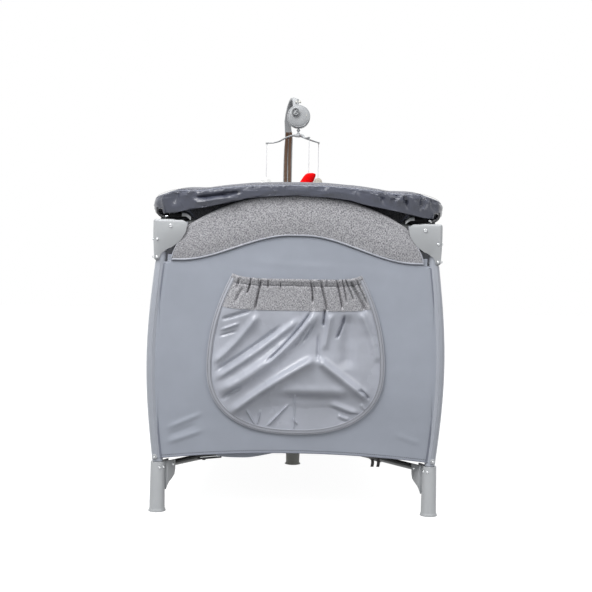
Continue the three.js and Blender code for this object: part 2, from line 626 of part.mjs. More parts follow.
// The changer's cover: a padded rim round a shallow tray, drawn in rings from the middle outwards.
function changerCover() {
  const rings = [0.68, 0.735, 0.79, 0.9, 0.96, 1];
  const around = 40;
  const trayWall = (share) => THREE.MathUtils.smoothstep(share, 0.68, 0.79);
  const profile = (share, x) => {
    const rise = trayWall(share);
    const roll = share > 0.9 ? ((share - 0.9) / 0.1) ** 2 : 0;
    const top = TRAY_Z + TRAY_T + (rimTop(x) - TRAY_Z - TRAY_T) * rise - (RIM_T - 10) * roll;
    const bottom = TRAY_Z + (rimTop(x) - RIM_T - TRAY_Z) * rise;
    return [top, bottom];
  };
  const points = [0, CHANGER_Y, TRAY_Z + TRAY_T, 0, CHANGER_Y, TRAY_Z];
  for (const share of rings)
    for (let step = 0; step < around; step++) {
      const turn = 2 * Math.PI * step / around;
      const [along, aside] = [Math.cos(turn), Math.sin(turn)];
      const squared = Math.abs(along) ** CHANGER_POWER + Math.abs(aside) ** CHANGER_POWER;
      const reach = share / squared ** (1 / CHANGER_POWER);
      const x = CHANGER_HALF_X * reach * along;
      const y = CHANGER_Y + CHANGER_HALF_Y * reach * aside;
      const [top, bottom] = profile(share, x);
      points.push(x, y, top, x, y, bottom);
    }
  const at = (ring, step, layer) => 2 + 2 * (ring * around + (step % around)) + layer;
  const faces = [];
  for (let step = 0; step < around; step++) {
    faces.push(0, at(0, step, 0), at(0, step + 1, 0), 1, at(0, step + 1, 1), at(0, step, 1));
    for (let ring = 1; ring < rings.length; ring++) {
      const [a, b] = [at(ring - 1, step, 0), at(ring, step, 0)];
      const [c, d] = [at(ring, step + 1, 0), at(ring - 1, step + 1, 0)];
      faces.push(a, b, c, a, c, d, a + 1, d + 1, c + 1, a + 1, c + 1, b + 1);
    }
    const last = rings.length - 1;
    const [a, b] = [at(last, step, 0), at(last, step + 1, 0)];
    faces.push(a, a + 1, b + 1, a, b + 1, b);
  }
  const geometry = new THREE.BufferGeometry();
  geometry.setAttribute('position', new THREE.Float32BufferAttribute(points, 3));
  geometry.setIndex(faces);
  return geometry;
}

// Height of the changer's frame tube under the rim.
const changerTubeZ = (x) => rimTop(x) - RIM_T - CHANGER_TUBE_R - CHANGER_TUBE_DROP;

// The changer's frame: one closed tube, arched across and rounded at its corners.
function changerFrame() {
  const corner = 45;
  const path = [];
  const quarters = [[1, -1, -90], [1, 1, 0], [-1, 1, 90], [-1, -1, 180]];
  for (const [signX, signY, start] of quarters) {
    const middle = vec(signX * (CHANGER_TUBE_X - corner), signY * (CHANGER_TUBE_Y - corner), 0);
    for (let step = 0; step <= 4; step++) {
      const turn = THREE.MathUtils.degToRad(start + 90 * step / 4);
      const out = vec(Math.cos(turn), Math.sin(turn), 0);
      path.push({ at: middle.clone().addScaledVector(out, corner), out });
    }
    if (signX === signY)
      for (const share of [0.66, 0.33, 0, -0.33, -0.66])
        path.push({ at: vec(middle.x * share, signY * CHANGER_TUBE_Y, 0), out: vec(0, signY, 0) });
  }
  return loft(path.map(({ at, out }) => circle(
    vec(at.x, CHANGER_Y + at.y, changerTubeZ(at.x)), vec(0, 0, 1), out, CHANGER_TUBE_R, 8,
  )), true);
}

// A clip on the left side rail's padded edge, with a saddle under the changer's frame tube.
function changerClip(place) {
  const y = CHANGER_Y + place;
  const nearY = Math.min(Math.abs(y - CLIP_W / 2), Math.abs(y + CLIP_W / 2));
  const top = bandTop(SIDE, nearY) + GAP;
  const outX = -(LEG_X + WALL_OUT + 2 * GAP);
  const inX = -(LEG_X - CREST_IN - 2 * GAP);
  const saddle = changerTubeZ(CHANGER_TUBE_X) - CHANGER_TUBE_R - GAP;
  const legBottom = top - CLIP_DROP;
  const y0 = y - CLIP_W / 2;
  const y1 = y + CLIP_W / 2;
  return join([
    box([outX - CLIP_T, y0, legBottom], [outX, y1, top + CLIP_T]),
    box([outX - CLIP_T, y0, top], [inX + CLIP_T, y1, top + CLIP_T]),
    box([inX, y0, legBottom], [inX + CLIP_T, y1, Math.max(top + CLIP_T, saddle)]),
    box([inX, y0, saddle - CLIP_SHELF_T], [-CHANGER_TUBE_X + CHANGER_TUBE_R, y1, saddle]),
  ]);
}

function mobileClamp() {
  const front = LEG_Y - CREST_IN - 2 * GAP;
  const back = LEG_Y + WALL_OUT + 2 * GAP;
  const top = bandTop(END, Math.abs(MOBILE_X) - CLAMP_W / 2) + GAP;
  const x0 = MOBILE_X - CLAMP_W / 2;
  const x1 = MOBILE_X + CLAMP_W / 2;
  const socketTop = top + 34;
  return join([
    box([x0, front - CLAMP_T, top - CLAMP_DROP], [x1, front, top + CLAMP_T]),
    box([x0, back, top - CLAMP_DROP], [x1, back + CLAMP_T, top + CLAMP_T]),
    box([x0, front - CLAMP_T, top], [x1, back + CLAMP_T, top + CLAMP_T]),
    box([x0, LEG_Y - 14, top], [x1, LEG_Y + 14, socketTop]),
  ], [box(
    [MOBILE_X - MOBILE_ARM_W / 2 - GAP, LEG_Y - MOBILE_ARM_T / 2 - GAP, top + CLAMP_T + 2],
    [MOBILE_X + MOBILE_ARM_W / 2 + GAP, LEG_Y + MOBILE_ARM_T / 2 + GAP, socketTop + 1],
  )]);
}

// The mobile's arm: upright from the clamp, then over towards the front, to the music box.
function mobileArm() {
  const foot = bandTop(END, Math.abs(MOBILE_X) - CLAMP_W / 2) + 2 * GAP + CLAMP_T + 2;
  const points = [
    vec(MOBILE_X, LEG_Y, foot), vec(MOBILE_X, LEG_Y, foot + 120), vec(MOBILE_X + 1, LEG_Y - 2, 1010),
    vec(MOBILE_X + 6, LEG_Y - 22, 1110), vec(MOBILE_X + 16, LEG_Y - 62, 1172),
    vec(MOBILE_X + 26, LEG_Y - 105, MOBILE_TOP - 8), vec(-4, BOX_Y + 14, MOBILE_TOP - 14),
    vec(0, BOX_Y, BOX_Z + BOX_R + 14), vec(0, BOX_Y, BOX_Z + BOX_R + GAP),
  ];
  const blade = roundedRect(MOBILE_ARM_T / 2, MOBILE_ARM_W / 2, 5);
  const curve = new THREE.CatmullRomCurve3(points, false, 'centripetal');
  return bladeAlong(curve, blade, 18);
}

// Sweeps a section along a curve with its width kept level, narrowing towards the end.
function bladeAlong(curve, shape, steps) {
  const outline = shape.getPoints(1).slice(0, -1);
  const ring = (share) => {
    const at = curve.getPointAt(share);
    const along = curve.getTangentAt(share);
    const level = vec(1, 0, 0).addScaledVector(along, -along.x).normalize();
    const other = along.clone().cross(level);
    const size = 1 - share / 3;
    return outline.map(({ x, y }) =>
      at.clone().addScaledVector(level, y * size).addScaledVector(other, -x * size));
  };
  return loft(Array.from({ length: steps + 1 }, (_, step) => ring(step / steps)));
}

function musicBox() {
  const shell = rod(vec(0, BOX_Y - BOX_T / 2, BOX_Z), vec(0, BOX_Y + BOX_T / 2, BOX_Z), BOX_R, 28);
  const neck = rod(vec(0, BOX_Y, CAROUSEL_Z + 9 + GAP), vec(0, BOX_Y, BOX_Z - BOX_R + 3), 9, 16);
  const bore = rod(
    vec(KNOB_X, BOX_Y - BOX_T, KNOB_Z), vec(KNOB_X, BOX_Y - BOX_T / 2 + 8, KNOB_Z), 4 + GAP, 12,
  );
  const slot = box([22, BOX_Y - BOX_T, BOX_Z - 6], [25, BOX_Y - BOX_T / 2 + 2, BOX_Z + 6]);
  return join([shell, neck], [bore, slot]);
}

function windingKnob() {
  const face = BOX_Y - BOX_T / 2;
  return join([
    rod(vec(KNOB_X, face - 12, KNOB_Z), vec(KNOB_X, face - 1, KNOB_Z), KNOB_R, 20),
    rod(vec(KNOB_X, face - 3, KNOB_Z), vec(KNOB_X, face + 7, KNOB_Z), 4, 12),
  ]);
}

const toyPlace = (turn) => {
  const angle = THREE.MathUtils.degToRad(turn);
  return vec(CAROUSEL_R * Math.cos(angle), BOX_Y + CAROUSEL_R * Math.sin(angle), CAROUSEL_Z - 16);
};

function carousel() {
  const hubDisc = rod(vec(0, BOX_Y, CAROUSEL_Z - 9), vec(0, BOX_Y, CAROUSEL_Z + 9), 19, 24, 14);
  const arms = TOY_TURNS.map((turn) => {
    const tip = toyPlace(turn);
    const middle = vec(tip.x / 2, BOX_Y + (tip.y - BOX_Y) / 2, CAROUSEL_Z);
    return sweep([vec(0, BOX_Y, CAROUSEL_Z), middle, tip], disc(4), 8, 4);
  });
  return join([hubDisc, ...arms]);
}

function toy(turn, top, halfWidth, halfHeight) {
  const place = toyPlace(turn);
  const cordTop = place.z - 4.5;
  const soft = new THREE.SphereGeometry(1, 12, 8).scale(halfWidth, halfWidth * 0.7, halfHeight)
    .translate(place.x, place.y, top - halfHeight);
  return join([rod(vec(place.x, place.y, top - 6), vec(place.x, place.y, cordTop), 1.2, 6), soft]);
}

function wheel() {
  const z = WHEEL_R + WHEEL_CLEAR;
  const tyre = rod(vec(WHEEL_IN, 0, z), vec(WHEEL_IN + WHEEL_W, 0, z), WHEEL_R, 28);
  const bore = rod(vec(WHEEL_IN - 1, 0, z), vec(WHEEL_IN + WHEEL_W + 1, 0, z), AXLE_R + GAP, 16);
  return join([tyre], [bore]);
}

// Stub axle that a back foot's housing carries for its wheel.
const wheelAxle = () => rod(
  vec((LEG_R + GAP + FOOT_R) / 2, 0, WHEEL_R + WHEEL_CLEAR),
  vec(WHEEL_IN + WHEEL_W + 3, 0, WHEEL_R + WHEEL_CLEAR), AXLE_R, 16,
);

// Corners: leg, housings, lower arm and floor quarter
const corners = [
  ['front_left', -1, -1], ['front_right', 1, -1], ['back_left', -1, 1], ['back_right', 1, 1],
];
for (const [name, signX, signY] of corners) {
  const group = cornerGroup(signX, signY);
  const foot = signY > 0 ? join([footHousing(), wheelAxle()]) : footHousing();
  add(`leg_tube_${name}`, legTube(), MATERIALS.steel, group);
  add(`corner_housing_${name}`, cornerHousing(), MATERIALS.housing, group);
  add(`foot_housing_${name}`, foot, MATERIALS.housing, group);
  add(`lower_arm_${name}`, lowerArm(), MATERIALS.tube, group);
  add(`floor_${name}`, floorQuarter(), MATERIALS.wall, group);
  if (signY > 0) add(`wheel_${name}`, wheel(), MATERIALS.rubber, group);
}

// Sides: half rails, latch, button and wall, each drawn facing -Y and turned into place
const sides = [
  ['front', END, 0, ['left', 'right']], ['back', END, Math.PI, ['right', 'left']],
  ['left', SIDE, -Math.PI / 2, ['back', 'front']], ['right', SIDE, Math.PI / 2, ['front', 'back']],
];
for (const [name, span, turn, halves] of sides) {
  const group = new THREE.Group();
  group.rotation.z = turn;
  yard.add(group);
  halves.forEach((half, index) =>
    add(`rail_${name}_${half}`, halfRail(span), MATERIALS.tube, group, index ? 1 : -1));
  add(`latch_${name}`, latch(span), MATERIALS.dark, group);
  add(`latch_button_${name}`, latchButton(span), MATERIALS.red, group);
  add(`wall_${name}`, wall(span), MATERIALS.wall, group);
}

add('hub', hub(), MATERIALS.dark);
add('pull_strap', pullStrap(), MATERIALS.red);
add('mattress', mattress(), MATERIALS.heather);
add('pocket', pocket(), MATERIALS.heather);

add('changer_cover', changerCover(), MATERIALS.changer);
add('changer_frame', changerFrame(), MATERIALS.tube);
CLIP_PLACES.forEach((place, index) => {
  const end = index ? 'back' : 'front';
  add(`changer_clip_left_${end}`, changerClip(place), MATERIALS.dark);
  add(`changer_clip_right_${end}`, changerClip(place), MATERIALS.dark, yard, -1);
});

add('mobile_clamp', mobileClamp(), MATERIALS.mobile);
add('mobile_arm', mobileArm(), MATERIALS.mobile);
add('music_box', musicBox(), MATERIALS.mobile);
add('winding_knob', windingKnob(), MATERIALS.mobile);
add('carousel', carousel(), MATERIALS.mobile);
add('toy_white', toy(TOY_TURNS[0], TOY_TOPS[0], 20, 36), MATERIALS.white);
add('toy_beige', toy(TOY_TURNS[1], TOY_TOPS[1], 22, 38), MATERIALS.beige);
add('toy_red', toy(TOY_TURNS[2], TOY_TOPS[2], 26, 38), MATERIALS.red);

export default yard;
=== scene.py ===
"""Travel play yard: the looks of a folding frame, its cloth, changer and mobile.

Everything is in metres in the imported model's own frame: +Z up, the front end
faces -Y, and the origin is on the floor under the middle of the folding hub.
"""

from __future__ import annotations

import json
import logging
import math
from collections.abc import Callable, Sequence
from dataclasses import dataclass, field
from enum import Enum

import bmesh
import bpy
import numpy as np
from mathutils import Matrix, Vector, noise

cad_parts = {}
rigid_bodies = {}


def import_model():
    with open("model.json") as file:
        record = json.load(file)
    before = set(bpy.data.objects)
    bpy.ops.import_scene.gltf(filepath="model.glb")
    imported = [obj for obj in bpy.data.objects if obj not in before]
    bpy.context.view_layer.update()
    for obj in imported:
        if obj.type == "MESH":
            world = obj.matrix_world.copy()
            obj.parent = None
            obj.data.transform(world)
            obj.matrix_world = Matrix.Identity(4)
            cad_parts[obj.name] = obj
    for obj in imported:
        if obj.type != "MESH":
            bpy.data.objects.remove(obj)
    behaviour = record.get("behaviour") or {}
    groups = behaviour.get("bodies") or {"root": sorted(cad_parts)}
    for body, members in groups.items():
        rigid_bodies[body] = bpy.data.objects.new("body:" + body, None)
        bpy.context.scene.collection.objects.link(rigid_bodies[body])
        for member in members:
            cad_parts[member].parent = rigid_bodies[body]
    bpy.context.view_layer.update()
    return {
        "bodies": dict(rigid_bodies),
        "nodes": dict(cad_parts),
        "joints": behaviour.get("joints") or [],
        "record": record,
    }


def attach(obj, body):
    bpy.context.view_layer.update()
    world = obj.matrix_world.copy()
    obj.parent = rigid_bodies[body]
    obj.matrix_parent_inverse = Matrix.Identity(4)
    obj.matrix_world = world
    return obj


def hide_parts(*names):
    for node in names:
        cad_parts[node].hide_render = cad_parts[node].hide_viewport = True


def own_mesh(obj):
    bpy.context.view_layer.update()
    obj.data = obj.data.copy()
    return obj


log = logging.getLogger("play_yard")

Point = tuple[float, float, float]
Colour = tuple[float, float, float]

FLAT_NOISE = {"noise_dimensions": "2D"}
BAND_END_INSET = 0.063
CREST_POWER = 2.2
X_AXIS = Vector((1.0, 0.0, 0.0))
Y_AXIS = Vector((0.0, 1.0, 0.0))
Z_AXIS = Vector((0.0, 0.0, 1.0))


# ---------------------------------------------------------------- shared sizes


@dataclass(frozen=True)
class FrameSizes:
    """Sizes of the folding frame that the cloth is cut to."""

    leg_x: float = 0.325
    leg_y: float = 0.595
    bow_x: float = 0.017
    bow_y: float = 0.006
    foot_top: float = 0.118
    housing_bottom: float = 0.598
    housing_out: float = 0.0185
    corner_pin_z: float = 0.680
    end_pin_inset: float = 0.024
    side_pin_inset: float = 0.044
    foot_pin_z: float = 0.108
    foot_pin: tuple[float, float] = (0.30102, 0.56979)
    arm_direction: tuple[float, float] = (0.46712, 0.88419)
    arm_cheek: float = 0.0116
    wall_out: float = 0.0123
    crest_in: float = 0.0153
    fold_degrees: float = 80.0
    pin_slope: float = 0.04
    latch_pin: float = 0.021

    def bow(self, z: np.ndarray | float) -> np.ndarray:
        """Share of the full bow at a height, from 0 in the housings to 1 halfway."""
        share = (np.asarray(z, float) - self.foot_top) / (self.housing_bottom - self.foot_top)
        return np.where((share > 0) & (share < 1), np.sin(np.pi * np.clip(share, 0, 1)), 0.0)


FRAME = FrameSizes()


@dataclass(frozen=True)
class Span:
    """One kind of side, an end or a long side, seen square on from outside."""

    half: float
    plane: float
    bow: float
    depth_bow: float
    pin_inset: float
    crown: float
    drop: float

    def band_top(self, s: np.ndarray | float) -> np.ndarray:
        """Height of the padded top edge at a distance along the side."""
        return self.crown - self.drop * (np.abs(s) / (self.half - BAND_END_INSET)) ** CREST_POWER

    def edge_at(self, z: np.ndarray | float) -> np.ndarray:
        """Distance from the side's middle to the axis of its leg at a height."""
        return self.half + self.bow * FRAME.bow(z)


END = Span(0.325, 0.595, FRAME.bow_x, FRAME.bow_y, FRAME.end_pin_inset, 0.762, 0.068)
LONG = Span(0.595, 0.325, FRAME.bow_y, FRAME.bow_x, FRAME.side_pin_inset, 0.721, 0.027)


class Side(Enum):
    """The four sides: name, span, turn in quarter turns, and the leg body carrying the cloth."""

    FRONT = ("front", END, 0, "leg_front_left", (-1, -1))
    BACK = ("back", END, 2, "leg_back_left", (-1, 1))
    LEFT = ("left", LONG, 3, "leg_front_left", (-1, -1))
    RIGHT = ("right", LONG, 1, "leg_front_right", (1, -1))

    @property
    def label(self) -> str:
        """The side's name in piece names."""
        return self.value[0]

    @property
    def span(self) -> Span:
        """The side's sizes."""
        return self.value[1]

    @property
    def body(self) -> str:
        """The body that carries the side's cloth."""
        return self.value[3]

    @property
    def is_end(self) -> bool:
        """Whether this is one of the two short ends."""
        return self.span is END

    def place(self, s: np.ndarray, out: np.ndarray, z: np.ndarray) -> np.ndarray:
        """Turns side coordinates into points of the model's frame.

        Args:
            s: Distance along the side, to the right as seen from outside.
            out: Distance outwards from the plane of the leg axes.
            z: Height.

        Returns:
            The points, with x, y and z last.
        """
        s, out, z = np.broadcast_arrays(np.asarray(s, float), np.asarray(out, float), np.asarray(z, float))
        x, y = s, -(self.span.plane + out)
        for _ in range(self.value[2]):
            x, y = -y, x
        return np.stack([x, y, z], axis=-1)

    def normal(self) -> Vector:
        """The side's outward direction."""
        x, y = 0.0, -1.0
        for _ in range(self.value[2]):
            x, y = -y, x
        return Vector((x, y, 0.0))

    def crumple(self, piece: bpy.types.Object) -> None:
        """Gives a piece of this side's cloth its own mesh."""
        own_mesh(piece)


CORNERS: dict[str, tuple[int, int]] = {
    "front_left": (-1, -1),
    "front_right": (1, -1),
    "back_left": (-1, 1),
    "back_right": (1, 1),
}


# ---------------------------------------------------------------- shader tools


def srgb(red: int, green: int, blue: int) -> Colour:
    """A display colour, 0 to 255, as the linear colour that shows as it."""
    return tuple(
        value / 12.92 if value <= 0.04045 else ((value + 0.055) / 1.055) ** 2.4
        for value in (red / 255, green / 255, blue / 255)
    )


def scaled(colour: Colour, share: float) -> Colour:
    """A colour made lighter or darker by a share."""
    return tuple(min(1.0, channel * share) for channel in colour)


class Tree:
    """A thin wrapper that adds and joins nodes in one node tree."""

    def __init__(self, nodes: bpy.types.NodeTree) -> None:
        """Wraps a node tree.

        Args:
            nodes: The node tree to build in.
        """
        self.nodes = nodes

    def add(self, kind: str, settings: dict | None = None, **sockets: object) -> bpy.types.Node:
        """Adds a node.

        Args:
            kind: The node's full type name.
            settings: Properties of the node itself.
            **sockets: Input values or links; i0, i1, ... stand for sockets by number.

        Returns:
            The new node.
        """
        node = self.nodes.nodes.new(kind)
        for key, value in (settings or {}).items():
            setattr(node, key, value)
        for key, value in sockets.items():
            index = int(key[1:]) if key[0] == "i" and key[1:].isdigit() else key.replace("_", " ")
            socket = node.inputs[index]
            if isinstance(value, bpy.types.NodeSocket):
                self.nodes.links.new(value, socket)
            elif isinstance(value, tuple) and len(value) == 3 and socket.type == "RGBA":
                socket.default_value = (*value, 1.0)
            else:
                socket.default_value = value
        return node

    def math(self, operation: str, *values: object) -> bpy.types.NodeSocket:
        """Adds a Math node and returns its result."""
        node = self.add("ShaderNodeMath", {"operation": operation})
        for index, value in enumerate(values):
            if isinstance(value, bpy.types.NodeSocket):
                self.nodes.links.new(value, node.inputs[index])
            else:
                node.inputs[index].default_value = value
        return node.outputs[0]

    def blend(self, share: object, low: object, high: object, mode: str = "MIX") -> bpy.types.NodeSocket:
        """Mixes two colours and returns the result."""
        node = self.nodes.nodes.new("ShaderNodeMix")
        node.data_type = "RGBA"
        node.blend_type = mode
        for index, value in ((0, share), (6, low), (7, high)):
            if isinstance(value, bpy.types.NodeSocket):
                self.nodes.links.new(value, node.inputs[index])
            elif isinstance(value, tuple):
                node.inputs[index].default_value = (*value, 1.0)
            else:
                node.inputs[index].default_value = value
        return node.outputs[2]

    def ramp(self, value: object, low: float, high: float) -> bpy.types.NodeSocket:
        """Maps low..high to 0..1, clamped."""
        node = self.nodes.nodes.new("ShaderNodeMapRange")
        self.nodes.links.new(value, node.inputs["Value"])
        node.inputs["From Min"].default_value = low
        node.inputs["From Max"].default_value = high
        return node.outputs[0]


def shader_group(
    name: str,
    inputs: dict[str, tuple[str, object]],
    outputs: dict[str, str],
    wire: Callable[[Tree, bpy.types.Node], dict[str, bpy.types.NodeSocket]],
) -> bpy.types.NodeTree:
    """Builds a shader node group once and returns it.

    Args:
        name: The group's name.
        inputs: Socket name to (socket type, default value).
        outputs: Socket name to socket type.
        wire: Makes the nodes and returns the socket for each output.

    Returns:
        The node group.
    """
    if name in bpy.data.node_groups:
        return bpy.data.node_groups[name]
    group = bpy.data.node_groups.new(name, "ShaderNodeTree")
    for key, (kind, default) in inputs.items():
        socket = group.interface.new_socket(name=key, in_out="INPUT", socket_type=kind)
        if default is not None:
            socket.default_value = default
    for key, kind in outputs.items():
        group.interface.new_socket(name=key, in_out="OUTPUT", socket_type=kind)
    tree = Tree(group)
    entry = group.nodes.new("NodeGroupInput")
    leave = group.nodes.new("NodeGroupOutput")
    for key, socket in wire(tree, entry).items():
        group.links.new(socket, leave.inputs[key])
    return group


def weave_group() -> bpy.types.NodeTree:
    """Over-and-under threads: height and a shade that is darker between threads."""

    def wire(tree: Tree, entry: bpy.types.Node) -> dict[str, bpy.types.NodeSocket]:
        point = tree.add("ShaderNodeVectorMath", {"operation": "SCALE"}, i0=entry.outputs["Vector"])
        tree.nodes.links.new(entry.outputs["Threads"], point.inputs["Scale"])
        split = tree.add("ShaderNodeSeparateXYZ", i0=point.outputs[0])
        wave_u = tree.math("ABSOLUTE", tree.math("SINE", tree.math("MULTIPLY", split.outputs[0], math.pi)))
        wave_v = tree.math("ABSOLUTE", tree.math("SINE", tree.math("MULTIPLY", split.outputs[1], math.pi)))
        height = tree.math("MULTIPLY", wave_u, wave_v)
        return {"Height": height, "Shade": tree.math("MULTIPLY_ADD", height, 0.16, 0.9)}

    return shader_group(
        "thread_weave",
        {"Vector": ("NodeSocketVector", None), "Threads": ("NodeSocketFloat", 900.0)},
        {"Height": "NodeSocketFloat", "Shade": "NodeSocketFloat"},
        wire,
    )


def slub_group() -> bpy.types.NodeTree:
    """Uneven heather yarn: light and dark streaks that run both ways along the weave."""

    def wire(tree: Tree, entry: bpy.types.Node) -> dict[str, bpy.types.NodeSocket]:
        streaks = []
        for stretch in ((250.0, 620.0, 1.0), (620.0, 250.0, 1.0)):
            point = tree.add("ShaderNodeVectorMath", {"operation": "MULTIPLY"}, i0=entry.outputs["Vector"])
            point.inputs[1].default_value = stretch
            texture = tree.add("ShaderNodeTexNoise", FLAT_NOISE, Scale=1.0, Detail=2.0, Roughness=0.6)
            tree.nodes.links.new(point.outputs[0], texture.inputs["Vector"])
            streaks.append(texture.outputs[0])
        patches = tree.add("ShaderNodeTexNoise", FLAT_NOISE, Scale=90.0, Detail=3.0, Roughness=0.6)
        tree.nodes.links.new(entry.outputs["Vector"], patches.inputs["Vector"])
        both = tree.math("ADD", streaks[0], streaks[1])
        mixed = tree.math("MULTIPLY_ADD", patches.outputs[0], 0.25, both)
        return {"Light": tree.ramp(mixed, 0.94, 1.30), "Height": tree.ramp(both, 0.7, 1.3)}

    return shader_group(
        "heather_slub",
        {"Vector": ("NodeSocketVector", None)},
        {"Light": "NodeSocketFloat", "Height": "NodeSocketFloat"},
        wire,
    )


def grain_group() -> bpy.types.NodeTree:
    """Fine moulded grain and slow blotches, for plastics, paint and rubber."""

    def wire(tree: Tree, entry: bpy.types.Node) -> dict[str, bpy.types.NodeSocket]:
        fine = tree.add("ShaderNodeTexNoise", Detail=2.0, Roughness=0.6)
        slow = tree.add("ShaderNodeTexNoise", Scale=14.0, Detail=3.0)
        for texture in (fine, slow):
            tree.nodes.links.new(entry.outputs["Vector"], texture.inputs["Vector"])
        tree.nodes.links.new(entry.outputs["Scale"], fine.inputs["Scale"])
        return {"Height": fine.outputs[0], "Blotch": tree.ramp(slow.outputs[0], 0.3, 0.7)}

    return shader_group(
        "moulded_grain",
        {"Vector": ("NodeSocketVector", None), "Scale": ("NodeSocketFloat", 900.0)},
        {"Height": "NodeSocketFloat", "Blotch": "NodeSocketFloat"},
        wire,
    )


class Coordinates(Enum):
    """Which coordinates a finish reads."""

    OBJECT = "Object"
    CLOTH = "UV"


@dataclass(frozen=True)
class Finish:
    """A finish: its colour, gloss and the places that read it."""

    name: str
    colour: Colour
    roughness: float = 0.6
    metallic: float = 0.0

    def material(self) -> bpy.types.Material:
        """Returns the finish's material, made on first use."""
        found = bpy.data.materials.get(self.name)
        if found:
            return found
        material = bpy.data.materials.new(self.name)
        material.use_nodes = True
        material.node_tree.nodes.clear()
        tree = Tree(material.node_tree)
        shader = tree.add("ShaderNodeBsdfPrincipled", Roughness=self.roughness, Metallic=self.metallic)
        shader.inputs["Base Color"].default_value = (*self.colour, 1.0)
        end = tree.add("ShaderNodeOutputMaterial")
        material.node_tree.links.new(shader.outputs[0], end.inputs[0])
        self.dress(tree, shader)
        return material

    def dress(self, tree: Tree, shader: bpy.types.Node) -> None:
        """Adds the finish's own nodes to its shader."""

    @staticmethod
    def coordinates(tree: Tree, kind: Coordinates) -> bpy.types.NodeSocket:
        """Returns the coordinates that a finish reads."""
        return tree.add("ShaderNodeTexCoord").outputs[kind.value]

    @staticmethod
    def bump(
        tree: Tree, shader: bpy.types.Node, height: bpy.types.NodeSocket, depth: float, strength: float
    ) -> None:
        """Raises the surface's normals by a height, in metres."""
        node = tree.add("ShaderNodeBump", Strength=strength, Distance=depth, Height=height)
        tree.nodes.links.new(node.outputs[0], shader.inputs["Normal"])


@dataclass(frozen=True)
class Satin(Finish):
    """Smooth woven polyester with a soft gloss."""

    threads: float = 800.0
    sheen: float = 0.25
    variation: float = 0.05

    def dress(self, tree: Tree, shader: bpy.types.Node) -> None:
        """Weave, slow shade changes and sheen."""
        point = self.coordinates(tree, Coordinates.CLOTH)
        weave = tree.add("ShaderNodeGroup", {"node_tree": weave_group()}, Vector=point, Threads=self.threads)
        slow = tree.add("ShaderNodeTexNoise", FLAT_NOISE, Scale=5.0, Detail=4.0, Roughness=0.65)
        tree.nodes.links.new(point, slow.inputs["Vector"])
        mix = tree.ramp(slow.outputs[0], 0.3, 0.7)
        colour = tree.blend(
            mix, scaled(self.colour, 1 - self.variation), scaled(self.colour, 1 + self.variation)
        )
        shaded = tree.blend(1.0, colour, weave.outputs["Shade"], "MULTIPLY")
        tree.nodes.links.new(shaded, shader.inputs["Base Color"])
        rough = tree.math("MULTIPLY_ADD", mix, 0.1, self.roughness - 0.05)
        tree.nodes.links.new(rough, shader.inputs["Roughness"])
        shader.inputs["Sheen Weight"].default_value = self.sheen
        shader.inputs["Sheen Roughness"].default_value = 0.4
        self.bump(tree, shader, weave.outputs["Height"], 0.0001, 0.35)


@dataclass(frozen=True)
class Heather(Finish):
    """Mottled woven cloth of light and dark yarn."""

    dark: Colour = (0.2, 0.2, 0.2)
    threads: float = 520.0

    def dress(self, tree: Tree, shader: bpy.types.Node) -> None:
        """Slubby two-tone yarn over a visible weave."""
        point = self.coordinates(tree, Coordinates.CLOTH)
        slub = tree.add("ShaderNodeGroup", {"node_tree": slub_group()}, Vector=point)
        weave = tree.add("ShaderNodeGroup", {"node_tree": weave_group()}, Vector=point, Threads=self.threads)
        colour = tree.blend(slub.outputs["Light"], self.dark, self.colour)
        shaded = tree.blend(1.0, colour, weave.outputs["Shade"], "MULTIPLY")
        tree.nodes.links.new(shaded, shader.inputs["Base Color"])
        shader.inputs["Sheen Weight"].default_value = 0.15
        shader.inputs["Sheen Roughness"].default_value = 0.6
        shader.inputs["Specular IOR Level"].default_value = 0.25
        height = tree.math("MULTIPLY_ADD", slub.outputs["Height"], 1.2, weave.outputs["Height"])
        self.bump(tree, shader, height, 0.0003, 0.6)


@dataclass(frozen=True)
class CoatedCloth(Finish):
    """Wipe-clean coated cloth: soft highlights and a faint leathery grain."""

    coat: float = 0.15

    def dress(self, tree: Tree, shader: bpy.types.Node) -> None:
        """Grain, uneven gloss and small creases."""
        point = self.coordinates(tree, Coordinates.OBJECT)
        grain = tree.add("ShaderNodeGroup", {"node_tree": grain_group()}, Vector=point, Scale=700.0)
        crease = tree.add("ShaderNodeTexNoise", Scale=38.0, Detail=5.0, Roughness=0.62, Distortion=1.2)
        tree.nodes.links.new(point, crease.inputs["Vector"])
        colour = tree.blend(grain.outputs["Blotch"], scaled(self.colour, 0.88), scaled(self.colour, 1.15))
        tree.nodes.links.new(colour, shader.inputs["Base Color"])
        rough = tree.math("MULTIPLY_ADD", grain.outputs["Blotch"], 0.12, self.roughness - 0.06)
        tree.nodes.links.new(rough, shader.inputs["Roughness"])
        shader.inputs["Coat Weight"].default_value = self.coat
        shader.inputs["Coat Roughness"].default_value = 0.3
        height = tree.math("MULTIPLY_ADD", grain.outputs["Height"], 0.08, crease.outputs[0])
        self.bump(tree, shader, height, 0.0016, 0.55)


